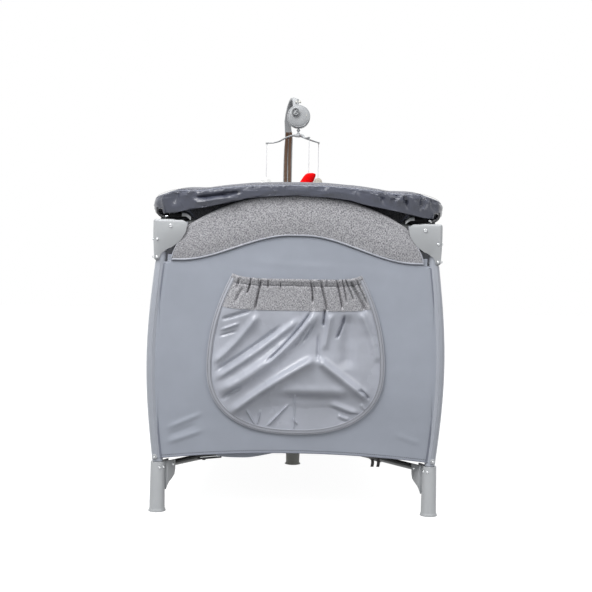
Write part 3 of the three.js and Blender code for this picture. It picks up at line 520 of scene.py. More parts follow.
@dataclass(frozen=True)
class Plastic(Finish):
    """Moulded plastic, painted steel or rubber, by its gloss and grain."""

    grain: float = 900.0
    depth: float = 0.00006
    coat: float = 0.0

    def dress(self, tree: Tree, shader: bpy.types.Node) -> None:
        """Fine grain in the normal and slow blotches in colour and gloss."""
        point = self.coordinates(tree, Coordinates.OBJECT)
        grain = tree.add("ShaderNodeGroup", {"node_tree": grain_group()}, Vector=point, Scale=self.grain)
        colour = tree.blend(grain.outputs["Blotch"], scaled(self.colour, 0.96), scaled(self.colour, 1.04))
        tree.nodes.links.new(colour, shader.inputs["Base Color"])
        rough = tree.math("MULTIPLY_ADD", grain.outputs["Blotch"], 0.08, self.roughness - 0.04)
        tree.nodes.links.new(rough, shader.inputs["Roughness"])
        shader.inputs["Coat Weight"].default_value = self.coat
        shader.inputs["Coat Roughness"].default_value = 0.15
        self.bump(tree, shader, grain.outputs["Height"], self.depth, 0.5)


@dataclass(frozen=True)
class Webbing(Finish):
    """Ribbed flat strap."""

    ribs: float = 420.0

    def dress(self, tree: Tree, shader: bpy.types.Node) -> None:
        """Ribs across the strap."""
        point = self.coordinates(tree, Coordinates.CLOTH)
        split = tree.add("ShaderNodeSeparateXYZ", i0=point)
        wave = tree.math("SINE", tree.math("MULTIPLY", split.outputs[1], math.pi * self.ribs))
        rib = tree.math("ABSOLUTE", wave)
        # The troughs between ribs are painted darker, as shade.
        colour = tree.blend(rib, scaled(self.colour, 0.6), self.colour)
        tree.nodes.links.new(colour, shader.inputs["Base Color"])
        self.bump(tree, shader, rib, 0.0004, 0.7)


@dataclass(frozen=True)
class Plush(Finish):
    """Short pile."""

    def dress(self, tree: Tree, shader: bpy.types.Node) -> None:
        """Tufts in the normal, deep soft sheen and uneven colour."""
        point = self.coordinates(tree, Coordinates.OBJECT)
        tuft = tree.add("ShaderNodeTexNoise", Scale=650.0, Detail=4.0, Roughness=0.7)
        tree.nodes.links.new(point, tuft.inputs["Vector"])
        colour = tree.blend(tree.ramp(tuft.outputs[0], 0.3, 0.7), scaled(self.colour, 0.86), self.colour)
        tree.nodes.links.new(colour, shader.inputs["Base Color"])
        shader.inputs["Sheen Weight"].default_value = 0.08
        shader.inputs["Sheen Roughness"].default_value = 0.5
        shader.inputs["Specular IOR Level"].default_value = 0.1
        self.bump(tree, shader, tuft.outputs[0], 0.0012, 0.8)


@dataclass(frozen=True)
class Netting(Finish):
    """Fine see-through net of round holes."""

    holes: float = 330.0

    def dress(self, tree: Tree, shader: bpy.types.Node) -> None:
        """Holes in the alpha, in staggered rows."""
        point = self.coordinates(tree, Coordinates.CLOTH)
        weave = tree.add("ShaderNodeGroup", {"node_tree": weave_group()}, Vector=point, Threads=self.holes)
        solid = tree.math("LESS_THAN", weave.outputs["Height"], 0.42)
        tree.nodes.links.new(solid, shader.inputs["Alpha"])
        colour = tree.blend(weave.outputs["Height"], self.colour, scaled(self.colour, 0.7))
        tree.nodes.links.new(colour, shader.inputs["Base Color"])


class Finishes:
    """The yard's finishes."""

    HOUSING = Plastic("housing_grey_plastic", srgb(180, 182, 184), 0.42, depth=0.00008, coat=0.12)
    PANEL = Satin("panel_blue_grey_satin", srgb(164, 169, 180), 0.42)
    PANEL_HEM = Satin("panel_hem_satin", srgb(124, 128, 140), 0.5)
    POCKET = Satin("pocket_silver_satin", srgb(183, 186, 196), 0.27, sheen=0.1, variation=0.08)
    HEATHER = Heather("heather_band_cloth", srgb(204, 203, 206), 0.88, dark=srgb(116, 115, 120))
    # A darker copy of the band's heather: painted shade for cloth in gaps and under the changer.
    HEATHER_DARK = Heather("heather_painted_shade_cloth", srgb(120, 120, 124), 0.9, dark=srgb(70, 70, 75))
    PIPING = Satin("piping_lavender_satin", srgb(182, 185, 194), 0.38, threads=600.0)
    BINDING = Satin("binding_grey_tape", srgb(176, 178, 186), 0.55, threads=500.0)
    THREAD = Satin("stitching_thread", srgb(96, 97, 104), 0.7, threads=2000.0)
    # Light thread: stitches that also paint highlight dashes on the changer's seam.
    THREAD_LIGHT = Satin("stitching_painted_highlight_thread", srgb(176, 173, 170), 0.7, threads=2000.0)
    SLEEVE = Satin("leg_sleeve_satin", srgb(176, 180, 189), 0.34)
    FLOOR = Satin("floor_brown_grey_cloth", srgb(112, 108, 106), 0.7, threads=500.0, sheen=0.1)
    MATTRESS = Heather("mattress_heather_cloth", srgb(176, 176, 180), 0.9, dark=srgb(124, 124, 130))
    NET = Netting("window_net", srgb(150, 153, 160), 0.8)
    TUBE = Plastic("tube_charcoal_paint", srgb(62, 64, 65), 0.36, 0.0, grain=1500.0, depth=0.00003, coat=0.3)
    LEG = Plastic("leg_grey_paint", srgb(150, 152, 156), 0.4, 0.3, grain=1500.0, depth=0.00003)
    BLACK = Plastic("fitting_black_plastic", srgb(44, 44, 46), 0.5)
    # Near-white, lighter than the hub's grey plastic, to make up for the shade under the bed: painted light.
    HUB = Plastic("hub_grey_plastic", srgb(214, 213, 206), 0.5)
    BUTTON = Plastic("button_red_plastic", srgb(190, 24, 28), 0.3, coat=0.3)
    CHANGER = CoatedCloth("changer_slate_cloth", srgb(72, 75, 88), 0.27)
    # Lighter than the changer's cloth: painted highlight along the puckered seam.
    CHANGER_SEAM = CoatedCloth("changer_seam_painted_highlight", srgb(132, 136, 150), 0.42)
    STRAP = Webbing("strap_slate_webbing", srgb(74, 78, 92), 0.7)
    STRAP_RED = Webbing("strap_red_webbing", srgb(176, 30, 34), 0.7)
    MOBILE = Plastic("mobile_grey_plastic", srgb(170, 172, 174), 0.4, coat=0.1)
    # Dark grey for rings that paint the shade in the knob's grooves.
    KNOB_DARK = Plastic("knob_groove_painted_shade", srgb(96, 98, 100), 0.45)
    MOBILE_BROWN = Plastic("mobile_brown_strip", srgb(88, 62, 42), 0.5, coat=0.1)
    RUBBER = Plastic("wheel_dark_rubber", srgb(52, 52, 54), 0.75, grain=500.0, depth=0.0002)
    BLACK_CLOTH = Webbing("floor_strap_webbing", srgb(70, 68, 68), 0.8)
    STEEL = Plastic("fastener_bright_steel", srgb(196, 198, 200), 0.22, 1.0, grain=2500.0, depth=0.00002)
    # Near-black painted shade, for pieces set where a recess lies in shadow.
    SHADE = Plastic("recess_painted_shade", srgb(22, 22, 24), 0.8)
    RED_PLUSH = Plush("toy_red_plush", srgb(246, 4, 8), 0.95)
    BEIGE_PLUSH = Plush("toy_beige_plush", srgb(196, 190, 178), 0.9)
    WHITE_PLUSH = Plush("toy_white_plush", srgb(240, 240, 238), 0.9)
    CORD = Satin("toy_white_cord", srgb(238, 238, 240), 0.6, threads=1500.0)


# ------------------------------------------------------------------ mesh tools


def eased(value: np.ndarray | float, low: float, high: float) -> np.ndarray:
    """A smooth step from 0 at low to 1 at high."""
    share = np.clip((np.asarray(value, float) - low) / (high - low), 0.0, 1.0)
    return share * share * (3 - 2 * share)


def ripple(points: np.ndarray, scale: float, seed: float = 0.0) -> np.ndarray:
    """Smooth noise from -1 to 1 at each point.

    Args:
        points: Points with x, y and z last.
        scale: Waves per metre.
        seed: Moves the pattern.

    Returns:
        One value for each point.
    """
    flat = np.asarray(points, float).reshape(-1, 3) * scale + seed
    values = [noise.noise(Vector(point)) for point in flat.tolist()]
    return np.array(values).reshape(np.shape(points)[:-1])


def run_along(x: np.ndarray, y: np.ndarray) -> np.ndarray:
    """The distance run at each point of a flat line."""
    return np.concatenate([[0.0], np.cumsum(np.hypot(np.diff(x), np.diff(y)))])


def run_of(path: np.ndarray) -> np.ndarray:
    """The distance run at each point of a path in space."""
    return np.concatenate([[0.0], np.cumsum(np.linalg.norm(np.diff(path, axis=0), axis=1))])


def grid_area(points: np.ndarray) -> float:
    """The area of a sheet given by a grid of points."""
    rising, falling = points[1:, 1:] - points[:-1, :-1], points[1:, :-1] - points[:-1, 1:]
    return float(np.linalg.norm(np.cross(rising, falling), axis=-1).sum() / 2)


def ring_faces(rings: int, steps: int, closed: bool = False) -> list[tuple[int, ...]]:
    """Faces between rings of points laid one after another.

    Args:
        rings: How many rings there are.
        steps: Points in each ring.
        closed: Whether the last ring joins the first.

    Returns:
        Vertex numbers of each face.
    """
    faces: list[tuple[int, ...]] = []
    for ring in range(rings if closed else rings - 1):
        here, there = ring * steps, (ring + 1) % rings * steps
        for step in range(steps):
            after = (step + 1) % steps
            faces.append((here + step, here + after, there + after, there + step))
    return faces


def lids(rings: int, steps: int) -> list[tuple[int, ...]]:
    """The faces that close the first and last of several rings."""
    return [tuple(reversed(range(steps))), tuple(range((rings - 1) * steps, rings * steps))]


def spun(profile: Sequence[tuple[float, float]], at: Point, axis: Vector, steps: int) -> np.ndarray:
    """Rings of points from a profile of (radius, distance along) spun round an axis.

    Args:
        profile: The outline.
        at: A point on the axis.
        axis: The axis.
        steps: Points in each ring.

    Returns:
        The points, ring after ring.
    """
    ahead = Vector(axis).normalized()
    side = ahead.orthogonal().normalized()
    other = ahead.cross(side)
    middle = Vector(at)
    points = []
    for radius, along in profile:
        for step in range(steps):
            turn = 2 * math.pi * step / steps
            points.append(middle + ahead * along + (side * math.cos(turn) + other * math.sin(turn)) * radius)
    return np.array(points)


def piece_from(
    name: str,
    points: np.ndarray,
    faces: Sequence[Sequence[int]],
    finish: Finish,
    cloth: np.ndarray | None = None,
    crease: float = 50.0,
) -> bpy.types.Object:
    """Makes a mesh piece with outward faces.

    Args:
        name: The piece's name.
        points: One row of x, y and z for each vertex.
        faces: Vertex numbers of each face.
        finish: The piece's finish.
        cloth: Cloth coordinates in metres for each vertex.
        crease: Angle in degrees above which an edge stays sharp.

    Returns:
        The piece.
    """
    mesh = bpy.data.meshes.new(name)
    mesh.from_pydata(np.asarray(points, float).reshape(-1, 3).tolist(), [], [list(f) for f in faces])
    if cloth is not None:
        layer = mesh.uv_layers.new(name="Cloth")
        corners = np.zeros(len(mesh.loops), int)
        mesh.loops.foreach_get("vertex_index", corners)
        layer.data.foreach_set("uv", np.asarray(cloth, float).reshape(-1, 2)[corners].ravel())
    work = bmesh.new()
    work.from_mesh(mesh)
    bmesh.ops.recalc_face_normals(work, faces=work.faces)
    work.to_mesh(mesh)
    work.free()
    mesh.shade_smooth()
    mesh.set_sharp_from_angle(angle=math.radians(crease))
    mesh.materials.append(finish.material())
    piece = bpy.data.objects.new(name, mesh)
    bpy.context.scene.collection.objects.link(piece)
    return piece


def slab(
    name: str,
    front: np.ndarray,
    back: np.ndarray,
    cloth: np.ndarray,
    finish: Finish,
    keep: np.ndarray | None = None,
    wrap: bool = False,
) -> bpy.types.Object:
    """A closed sheet between two grids of points.

    Args:
        name: The piece's name.
        front: Points of one face, in rows and columns.
        back: Points of the other face, in the same order.
        cloth: Cloth coordinates for the grid, in metres.
        finish: The piece's finish.
        keep: Which cells of the grid are cloth; all of them if left out.
        wrap: Whether the last column joins the first.

    Returns:
        The piece.
    """
    rows, columns = front.shape[:2]
    cells = columns if wrap else columns - 1
    count = rows * columns
    faces: list[tuple[int, ...]] = []
    rim: dict[tuple[int, int], tuple[int, int]] = {}
    for row in range(rows - 1):
        for column in range(cells):
            if keep is not None and not keep[row, column]:
                continue
            after = (column + 1) % columns
            here, there = row * columns, (row + 1) * columns
            ring = [here + column, here + after, there + after, there + column]
            faces.append(tuple(ring))
            faces.append(tuple(count + corner for corner in reversed(ring)))
            for start, end in zip(ring, ring[1:] + ring[:1]):
                key = (min(start, end), max(start, end))
                if key in rim:
                    del rim[key]
                else:
                    rim[key] = (start, end)
    faces += [(end, start, count + start, count + end) for start, end in rim.values()]
    points = np.concatenate([front.reshape(-1, 3), back.reshape(-1, 3)])
    both = np.concatenate([cloth.reshape(-1, 2), cloth.reshape(-1, 2)])
    if keep is not None:
        used = np.zeros(len(points), bool)
        used[np.unique(np.concatenate([np.array(face) for face in faces]))] = True
        order = np.cumsum(used) - 1
        faces = [tuple(int(order[corner]) for corner in face) for face in faces]
        points, both = points[used], both[used]
    return piece_from(name, points, faces, finish, both)


def frames_along(
    path: np.ndarray, closed: bool, first: Vector | None = None
) -> tuple[np.ndarray, np.ndarray]:
    """Two directions across a path at each point, turning as little as possible.

    Args:
        path: Points along the path.
        closed: Whether the path is a loop.
        first: A direction that the first of the two starts near.

    Returns:
        The two directions at each point.
    """
    if closed:
        along = np.roll(path, -1, axis=0) - np.roll(path, 1, axis=0)
    else:
        along = np.gradient(path, axis=0)
    along /= np.linalg.norm(along, axis=1)[:, None]
    side = Vector(first) if first is not None else Vector((0.0, 0.0, 1.0))
    if abs(side.dot(Vector(along[0]))) > 0.95:
        side = Vector((1.0, 0.0, 0.0))
    sides, others = [], []
    for direction in along:
        ahead = Vector(direction)
        side = (side - ahead * side.dot(ahead)).normalized()
        sides.append(side.copy())
        others.append(ahead.cross(side))
    return np.array(sides), np.array(others)


def tube(
    name: str,
    path: Sequence[Point] | np.ndarray,
    radius: float | np.ndarray,
    finish: Finish,
    sides: int = 12,
    closed: bool = False,
    flat: float = 1.0,
    first: Vector | None = None,
) -> bpy.types.Object:
    """A round or oval tube along a path, capped at its ends.

    Args:
        name: The piece's name.
        path: Points along the middle.
        radius: One radius, or one for each point.
        finish: The piece's finish.
        sides: Corners round the tube.
        closed: Whether the path is a loop.
        flat: Thickness over width of an oval tube.
        first: The direction of an oval tube's width at its start.

    Returns:
        The piece.
    """
    path = np.asarray(path, float)
    count = len(path)
    sides_at, others_at = frames_along(path, closed, first)
    radii = np.broadcast_to(np.asarray(radius, float), (count,))
    turns = np.arange(sides) * 2 * np.pi / sides
    ring = (
        path[:, None, :]
        + np.cos(turns)[None, :, None] * sides_at[:, None, :] * radii[:, None, None]
        + np.sin(turns)[None, :, None] * others_at[:, None, :] * radii[:, None, None] * flat
    )
    faces = ring_faces(count, sides, closed)
    if not closed:
        faces += lids(count, sides)
    cloth = np.stack(np.broadcast_arrays(turns[None, :] * radii[:, None], run_of(path)[:, None]), axis=-1)
    return piece_from(name, ring, faces, finish, cloth)


def strap(
    name: str, path: np.ndarray, across: np.ndarray | Vector, width: float, thick: float, finish: Finish
) -> bpy.types.Object:
    """A flat strap or tape along a path.

    Args:
        name: The piece's name.
        path: Points along its middle.
        across: Its width direction, one for all points or one for each.
        width: Its width.
        thick: Its thickness.
        finish: Its finish.

    Returns:
        The piece.
    """
    path = np.asarray(path, float)
    across = np.broadcast_to(np.asarray(across, float), path.shape)
    along = np.gradient(path, axis=0)
    out = np.cross(across, along)
    out /= np.linalg.norm(out, axis=1)[:, None]
    shares = np.linspace(-0.5, 0.5, 5)
    middle = path[:, None, :] + shares[None, :, None] * across[:, None, :] * width
    lift = out[:, None, :] * thick / 2 * (1 - 0.5 * (2 * shares[None, :, None]) ** 4)
    cloth = np.stack(np.broadcast_arrays(shares[None, :] * width, run_of(path)[:, None]), axis=-1)
    return slab(name, middle + lift, middle - lift, cloth, finish)


def curve_through(points: Sequence[Point], steps: int) -> np.ndarray:
    """Evenly spaced points on a smooth curve through a few given ones."""
    given = np.asarray(points, float)
    padded = np.vstack([2 * given[0] - given[1], given, 2 * given[-1] - given[-2]])
    dense = []
    for index in range(len(given) - 1):
        a, b, c, d = padded[index : index + 4]
        t = np.linspace(0, 1, 24, endpoint=False)[:, None]
        square, cube = 2 * a - 5 * b + 4 * c - d, 3 * b - a - 3 * c + d
        dense.append(0.5 * (2 * b + (c - a) * t + square * t**2 + cube * t**3))
    line = np.vstack([*dense, given[-1:]])
    lengths = run_of(line)
    even = np.linspace(0, lengths[-1], steps)
    return np.stack([np.interp(even, lengths, line[:, axis]) for axis in range(3)], axis=1)


def turned(
    name: str,
    profile: Sequence[tuple[float, float]],
    at: Point,
    axis: Vector,
    finish: Finish,
    steps: int = 40,
) -> bpy.types.Object:
    """A turned piece: a profile of (radius, distance along the axis) spun round it.

    Args:
        name: The piece's name.
        profile: Its outline from one end to the other; the end radii close to a point.
        at: A point on the axis.
        axis: The axis.
        finish: The piece's finish.
        steps: Corners round the axis.

    Returns:
        The piece.
    """
    rings = len(profile)
    ends = [tuple(range(steps)), tuple(range((rings - 1) * steps, rings * steps))]
    faces = ring_faces(rings, steps) + ends
    return piece_from(name, spun(profile, at, axis, steps), faces, finish, crease=35.0)


def joined(name: str, pieces: Sequence[bpy.types.Object]) -> bpy.types.Object:
    """Joins pieces on one body into one mesh.

    Args:
        name: The joined piece's name.
        pieces: The pieces, which are used up.

    Returns:
        The joined piece.
    """
    first = pieces[0]
    if len(pieces) > 1:
        chosen = list(pieces)
        with bpy.context.temp_override(
            active_object=first, object=first, selected_objects=chosen, selected_editable_objects=chosen
        ):
            bpy.ops.object.join()
    first.name = name
    first.data.name = name
    return first


def settled(piece: bpy.types.Object) -> bpy.types.Object:
    """Turns a piece with modifiers into a plain mesh and returns it."""
    seen = piece.evaluated_get(bpy.context.evaluated_depsgraph_get())
    mesh = bpy.data.meshes.new_from_object(seen)
    piece.modifiers.clear()
    piece.data = mesh
    return piece


def softened(node: bpy.types.Object, name: str, width: float, finish: Finish) -> bpy.types.Object:
    """A copy of a hard fitting with its edges rounded.

    Args:
        node: The fitting's model node.
        name: The copy's name.
        width: How wide its edges are rounded.
        finish: The copy's finish.

    Returns:
        The copy.
    """
    mesh = node.data.copy()
    work = bmesh.new()
    work.from_mesh(mesh)
    bmesh.ops.remove_doubles(work, verts=work.verts, dist=2e-5)
    bmesh.ops.dissolve_limit(
        work, angle_limit=math.radians(1.5), verts=work.verts, edges=work.edges, use_dissolve_boundaries=False
    )
    work.to_mesh(mesh)
    work.free()
    mesh.materials.clear()
    mesh.materials.append(finish.material())
    mesh.shade_smooth()
    copy = bpy.data.objects.new(name, mesh)
    bpy.context.scene.collection.objects.link(copy)
    bevel = copy.modifiers.new("edges", "BEVEL")
    bevel.width = width
    bevel.segments = 2
    bevel.limit_method = "ANGLE"
    bevel.angle_limit = math.radians(32)
    bevel.use_clamp_overlap = True
    bevel.miter_outer = "MITER_ARC"
    settled(copy)
    copy.data.set_sharp_from_angle(angle=math.radians(38))
    return copy


def puffed(piece: bpy.types.Object, voxel: float, pressure: float, cap: float) -> bpy.types.Object:
    """Fills a closed pad by a short cloth simulation and keeps the result.

    Args:
        piece: The pad, a closed mesh.
        voxel: Cell size of the remesh before the simulation.
        pressure: Pressure inside.
        cap: The furthest that a point may move.

    Returns:
        The pad, settled.
    """
    mesh = piece.modifiers.new("even", "REMESH")
    mesh.mode = "VOXEL"
    mesh.voxel_size = voxel
    mesh.use_smooth_shade = True
    settled(piece)
    rest = np.zeros(len(piece.data.vertices) * 3)
    piece.data.vertices.foreach_get("co", rest)
    cloth = piece.modifiers.new("air", "CLOTH")
    cloth.settings.quality = 4
    cloth.settings.use_pressure = True
    cloth.settings.uniform_pressure_force = pressure
    cloth.settings.effector_weights.gravity = 0.0
    cloth.settings.tension_stiffness = 12
    cloth.settings.bending_stiffness = 0.4
    scene = bpy.context.scene
    for frame in range(1, 15):
        scene.frame_set(frame)
    settled(piece)
    scene.frame_set(1)
    moved = np.zeros_like(rest)
    piece.data.vertices.foreach_get("co", moved)
    shift = (moved - rest).reshape(-1, 3)
    reach = np.linalg.norm(shift, axis=1)[:, None]
    shift *= np.minimum(1.0, cap / np.maximum(reach, 1e-9))
    piece.data.vertices.foreach_set("co", rest + shift.ravel())
    piece.data.update()
    return piece


def reshaped(piece: bpy.types.Object, move: Callable[[np.ndarray], np.ndarray]) -> bpy.types.Object:
    """Moves a piece's vertices by a function of all its points and returns it."""
    points = np.zeros(len(piece.data.vertices) * 3)
    piece.data.vertices.foreach_get("co", points)
    piece.data.vertices.foreach_set("co", move(points.reshape(-1, 3)).ravel())
    piece.data.update()
    return piece


def cloth_from(piece: bpy.types.Object, flat: Callable[[np.ndarray], np.ndarray]) -> bpy.types.Object:
    """Gives a piece cloth coordinates in metres from its points.

    Args:
        piece: The piece.
        flat: Turns points into their two cloth coordinates.

    Returns:
        The piece.
    """
    mesh = piece.data
    points = np.zeros(len(mesh.vertices) * 3)
    mesh.vertices.foreach_get("co", points)
    corners = np.zeros(len(mesh.loops), int)
    mesh.loops.foreach_get("vertex_index", corners)
    layer = mesh.uv_layers.get("Cloth") or mesh.uv_layers.new(name="Cloth")
    layer.data.foreach_set("uv", flat(points.reshape(-1, 3))[corners].ravel())
    return piece


# -------------------------------------------------------------- repeated parts


def geometry_tree(
    name: str, inputs: dict[str, tuple[str, object]]
) -> tuple[Tree, bpy.types.Node, bpy.types.Node]:
    """Starts a geometry node tree with a mesh in and out and named sizes.

    Args:
        name: The tree's name.
        inputs: Socket name to (socket type, default value).

    Returns:
        The tree, its input node and its output node.
    """
    group = bpy.data.node_groups.new(name, "GeometryNodeTree")
    group.interface.new_socket(name="Geometry", in_out="INPUT", socket_type="NodeSocketGeometry")
    for key, (kind, default) in inputs.items():
        socket = group.interface.new_socket(name=key, in_out="INPUT", socket_type=kind)
        if default is not None:
            socket.default_value = default
    group.interface.new_socket(name="Geometry", in_out="OUTPUT", socket_type="NodeSocketGeometry")
    tree = Tree(group)
    return tree, group.nodes.new("NodeGroupInput"), group.nodes.new("NodeGroupOutput")


def run_tree(
    piece: bpy.types.Object, tree: bpy.types.NodeTree, values: dict[str, object]
) -> bpy.types.Object:
    """Applies a geometry node tree to a piece with its inputs set by identifier.

    Args:
        piece: The piece whose mesh the tree reads.
        tree: The tree.
        values: Input name to value.

    Returns:
        The piece, a plain mesh.
    """
    modifier = piece.modifiers.new("repeat", "NODES")
    modifier.node_group = tree
    for socket in tree.interface.items_tree:
        if socket.in_out == "INPUT" and socket.name in values:
            modifier[socket.identifier] = values[socket.name]
    return settled(piece)


def coated(
    tree: Tree, entry: bpy.types.Node, place: bpy.types.Node, leave: bpy.types.Node
) -> bpy.types.NodeTree:
    """Ends a tree that sets copies on points: makes them real and gives them their finish."""
    real = tree.add("GeometryNodeRealizeInstances", i0=place.outputs[0])
    coat = tree.add("GeometryNodeSetMaterial", i0=real.outputs[0])
    tree.nodes.links.new(entry.outputs["Finish"], coat.inputs["Material"])
    tree.nodes.links.new(coat.outputs[0], leave.inputs[0])
    return tree.nodes


def stitch_tree() -> bpy.types.NodeTree:
    """Short stitches laid end to end along the edges of a line."""
    if "stitches" in bpy.data.node_groups:
        return bpy.data.node_groups["stitches"]
    tree, entry, leave = geometry_tree(
        "stitches",
        {
            "Spacing": ("NodeSocketFloat", 0.004),
            "Thickness": ("NodeSocketFloat", 0.0004),
            "Finish": ("NodeSocketMaterial", None),
        },
    )
    line = tree.add("GeometryNodeMeshToCurve", i0=entry.outputs["Geometry"])
    even = tree.add("GeometryNodeResampleCurve")
    even.mode = "LENGTH"
    tree.nodes.links.new(line.outputs[0], even.inputs["Curve"])
    tree.nodes.links.new(entry.outputs["Spacing"], even.inputs["Length"])
    thread = tree.add("GeometryNodeMeshCylinder", Vertices=6, Side_Segments=1)
    tree.nodes.links.new(entry.outputs["Thickness"], thread.inputs["Radius"])
    tree.nodes.links.new(tree.math("MULTIPLY", entry.outputs["Spacing"], 0.68), thread.inputs["Depth"])
    place = tree.add("GeometryNodeInstanceOnPoints")
    tangent = tree.add("GeometryNodeInputTangent")
    turn = tree.add("FunctionNodeAlignRotationToVector", {"axis": "Z"})
    tree.nodes.links.new(tangent.outputs[0], turn.inputs["Vector"])
    tree.nodes.links.new(even.outputs[0], place.inputs["Points"])
    tree.nodes.links.new(thread.outputs["Mesh"], place.inputs["Instance"])
    tree.nodes.links.new(turn.outputs[0], place.inputs["Rotation"])
    return coated(tree, entry, place, leave)


def stitches(
    name: str, lines: Sequence[np.ndarray], finish: Finish, spacing: float = 0.0045, thick: float = 0.00045
) -> bpy.types.Object:
    """Rows of stitches along lines on one body.

    Args:
        name: The piece's name.
        lines: The rows, each a run of points.
        finish: The thread's finish.
        spacing: Distance from one stitch to the next.
        thick: The thread's radius.

    Returns:
        The piece.
    """
    points, edges = [], []
    for line in lines:
        edges += [(len(points) + index, len(points) + index + 1) for index in range(len(line) - 1)]
        points += np.asarray(line, float).tolist()
    mesh = bpy.data.meshes.new(name)
    mesh.from_pydata(points, edges, [])
    piece = bpy.data.objects.new(name, mesh)
    bpy.context.scene.collection.objects.link(piece)
    values = {"Spacing": spacing, "Thickness": thick, "Finish": finish.material()}
    return cloth_from(run_tree(piece, stitch_tree(), values), lambda p: p[:, :2])


class Head(Enum):
    """Kinds of fastener head."""

    SCREW = "screw_head"
    RIVET = "rivet_head"
    RIB = "tread_rib"


def head_pattern(kind: Head) -> bpy.types.Object:
    """A fastener head or tread rib at its real size, pointing along +Z.

    Args:
        kind: Which head.

    Returns:
        The pattern object, removed once its copies are made.
    """
    if kind is Head.RIVET:
        profile = [(0.0033, -0.0006), (0.0033, 0.0002), (0.0028, 0.0010), (0.0017, 0.0016), (0.0006, 0.0018)]
        return turned(kind.value, profile, (0, 0, 0), Z_AXIS, Finishes.STEEL, steps=16)
    if kind is Head.RIB:
        half = np.array([0.0011, 0.0076, 0.0009])
        corners = np.array([(x, y, z) for x in (-1, 1) for y in (-1, 1) for z in (-1, 1)]) * half
        corners[1::2, :2] *= 0.72
        faces = [(0, 1, 3, 2), (4, 6, 7, 5), (0, 4, 5, 1), (2, 3, 7, 6), (0, 2, 6, 4), (1, 5, 7, 3)]
        return piece_from(kind.value, corners, faces, Finishes.RUBBER)
    profile = [
        (0.0048, -0.0006), (0.0048, 0.0006), (0.0044, 0.0016), (0.0035, 0.0023), (0.0024, 0.0026),
        (0.0019, 0.0024), (0.0015, 0.0012), (0.0004, 0.0010),
    ]
    return turned(kind.value, profile, (0, 0, 0), Z_AXIS, Finishes.STEEL, steps=20)


def head_tree() -> bpy.types.NodeTree:
    """A pattern set on every point, turned to face along the point's normal."""
    if "heads_on_points" in bpy.data.node_groups:
        return bpy.data.node_groups["heads_on_points"]
    tree, entry, leave = geometry_tree(
        "heads_on_points",
        {
            "Pattern": ("NodeSocketObject", None),
            "Size": ("NodeSocketFloat", 1.0),
            "Finish": ("NodeSocketMaterial", None),
        },
    )
    pattern = tree.add("GeometryNodeObjectInfo")
    tree.nodes.links.new(entry.outputs["Pattern"], pattern.inputs["Object"])
    facing = tree.add("GeometryNodeInputNamedAttribute", {"data_type": "FLOAT_VECTOR"}, Name="facing")
    turn = tree.add("FunctionNodeAlignRotationToVector", {"axis": "Z"})
    tree.nodes.links.new(facing.outputs[0], turn.inputs["Vector"])
    place = tree.add("GeometryNodeInstanceOnPoints", i0=entry.outputs["Geometry"])
    tree.nodes.links.new(pattern.outputs["Geometry"], place.inputs["Instance"])
    tree.nodes.links.new(turn.outputs[0], place.inputs["Rotation"])
    tree.nodes.links.new(entry.outputs["Size"], place.inputs["Scale"])
    return coated(tree, entry, place, leave)


def heads(
    name: str, kind: Head, places: Sequence[tuple[Point, Point]], finish: Finish, size: float = 1.0
) -> bpy.types.Object:
    """Fastener heads at places on one body.

    Args:
        name: The piece's name.
        kind: Which head.
        places: Each head's point and the direction it faces.
        finish: The heads' finish.
        size: Their size over the pattern's.

    Returns:
        The piece.
    """
    pattern = head_pattern(kind)
    mesh = bpy.data.meshes.new(name)
    mesh.from_pydata([place for place, _ in places], [], [])
    facing = mesh.attributes.new("facing", "FLOAT_VECTOR", "POINT")
    facing.data.foreach_set("vector", [value for _, direction in places for value in direction])
    piece = bpy.data.objects.new(name, mesh)
    bpy.context.scene.collection.objects.link(piece)
    run_tree(piece, head_tree(), {"Pattern": pattern, "Size": size, "Finish": finish.material()})
    piece.data.shade_smooth()
    piece.data.set_sharp_from_angle(angle=math.radians(40))
    bpy.data.objects.remove(pattern)
    return piece


# -------------------------------------------------------------------- the frame


def carry(
    piece: bpy.types.Object, body: str, stands_for: Sequence[str] = (), side: Side | None = None
) -> bpy.types.Object:
    """Puts a finished piece on its body, in place of model nodes where it stands for some.

    Args:
        piece: The finished piece.
        body: The body that carries it.
        stands_for: Model nodes that it replaces.
        side: The side that its cloth belongs to, which gives the piece its own mesh.

    Returns:
        The piece.
    """
    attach(piece, body)
    if stands_for:
        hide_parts(*stands_for)
    if side is not None:
        side.crumple(piece)
    log.info("%s rides on %s", piece.name, body)
    return piece


@dataclass
class Frame:
    """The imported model's own tubes and fittings."""

    nodes: dict[str, bpy.types.Object]
    body_of: dict[str, str]
    edge: float = 0.0012

    def dress(self) -> None:
        """Gives every tube its finish and rounds the edges of the moulded fittings."""
        tubes = {"leg_tube": Finishes.LEG, "rail": Finishes.TUBE, "lower_arm": Finishes.TUBE}
        for name, node in self.nodes.items():
            for start, finish in tubes.items():
                if name.startswith(start):
                    self.coat(node, finish)
        self.coat(self.nodes["changer_frame"], Finishes.TUBE)
        moulded = {
            "corner_housing": (Finishes.HOUSING, self.edge, "housing_plastic"),
            "foot_housing": (Finishes.HOUSING, 0.0009, "housing_plastic"),
            "latch_button": (Finishes.BUTTON, 0.0008, "red_plastic"),
            "latch_": (Finishes.BLACK, 0.0007, "black_plastic"),
            "hub": (Finishes.HUB, 0.0009, "black_plastic"),
            "changer_clip": (Finishes.BLACK, 0.0009, "black_plastic"),
            "mobile_clamp": (Finishes.MOBILE, 0.0009, "mobile_plastic"),
        }
        for name, node in self.nodes.items():
            start = next((key for key in moulded if name.startswith(key)), None)
            if start is None:
                continue
            finish, width, slot = moulded[start]
            piece = softened(node, f"{name}_moulding", width, finish)
            carry(piece, self.body_of[name], [name])

    @staticmethod
    def coat(node: bpy.types.Object, finish: Finish) -> None:
        """Gives a model node a finish."""
        node.data.materials.clear()
        node.data.materials.append(finish.material())


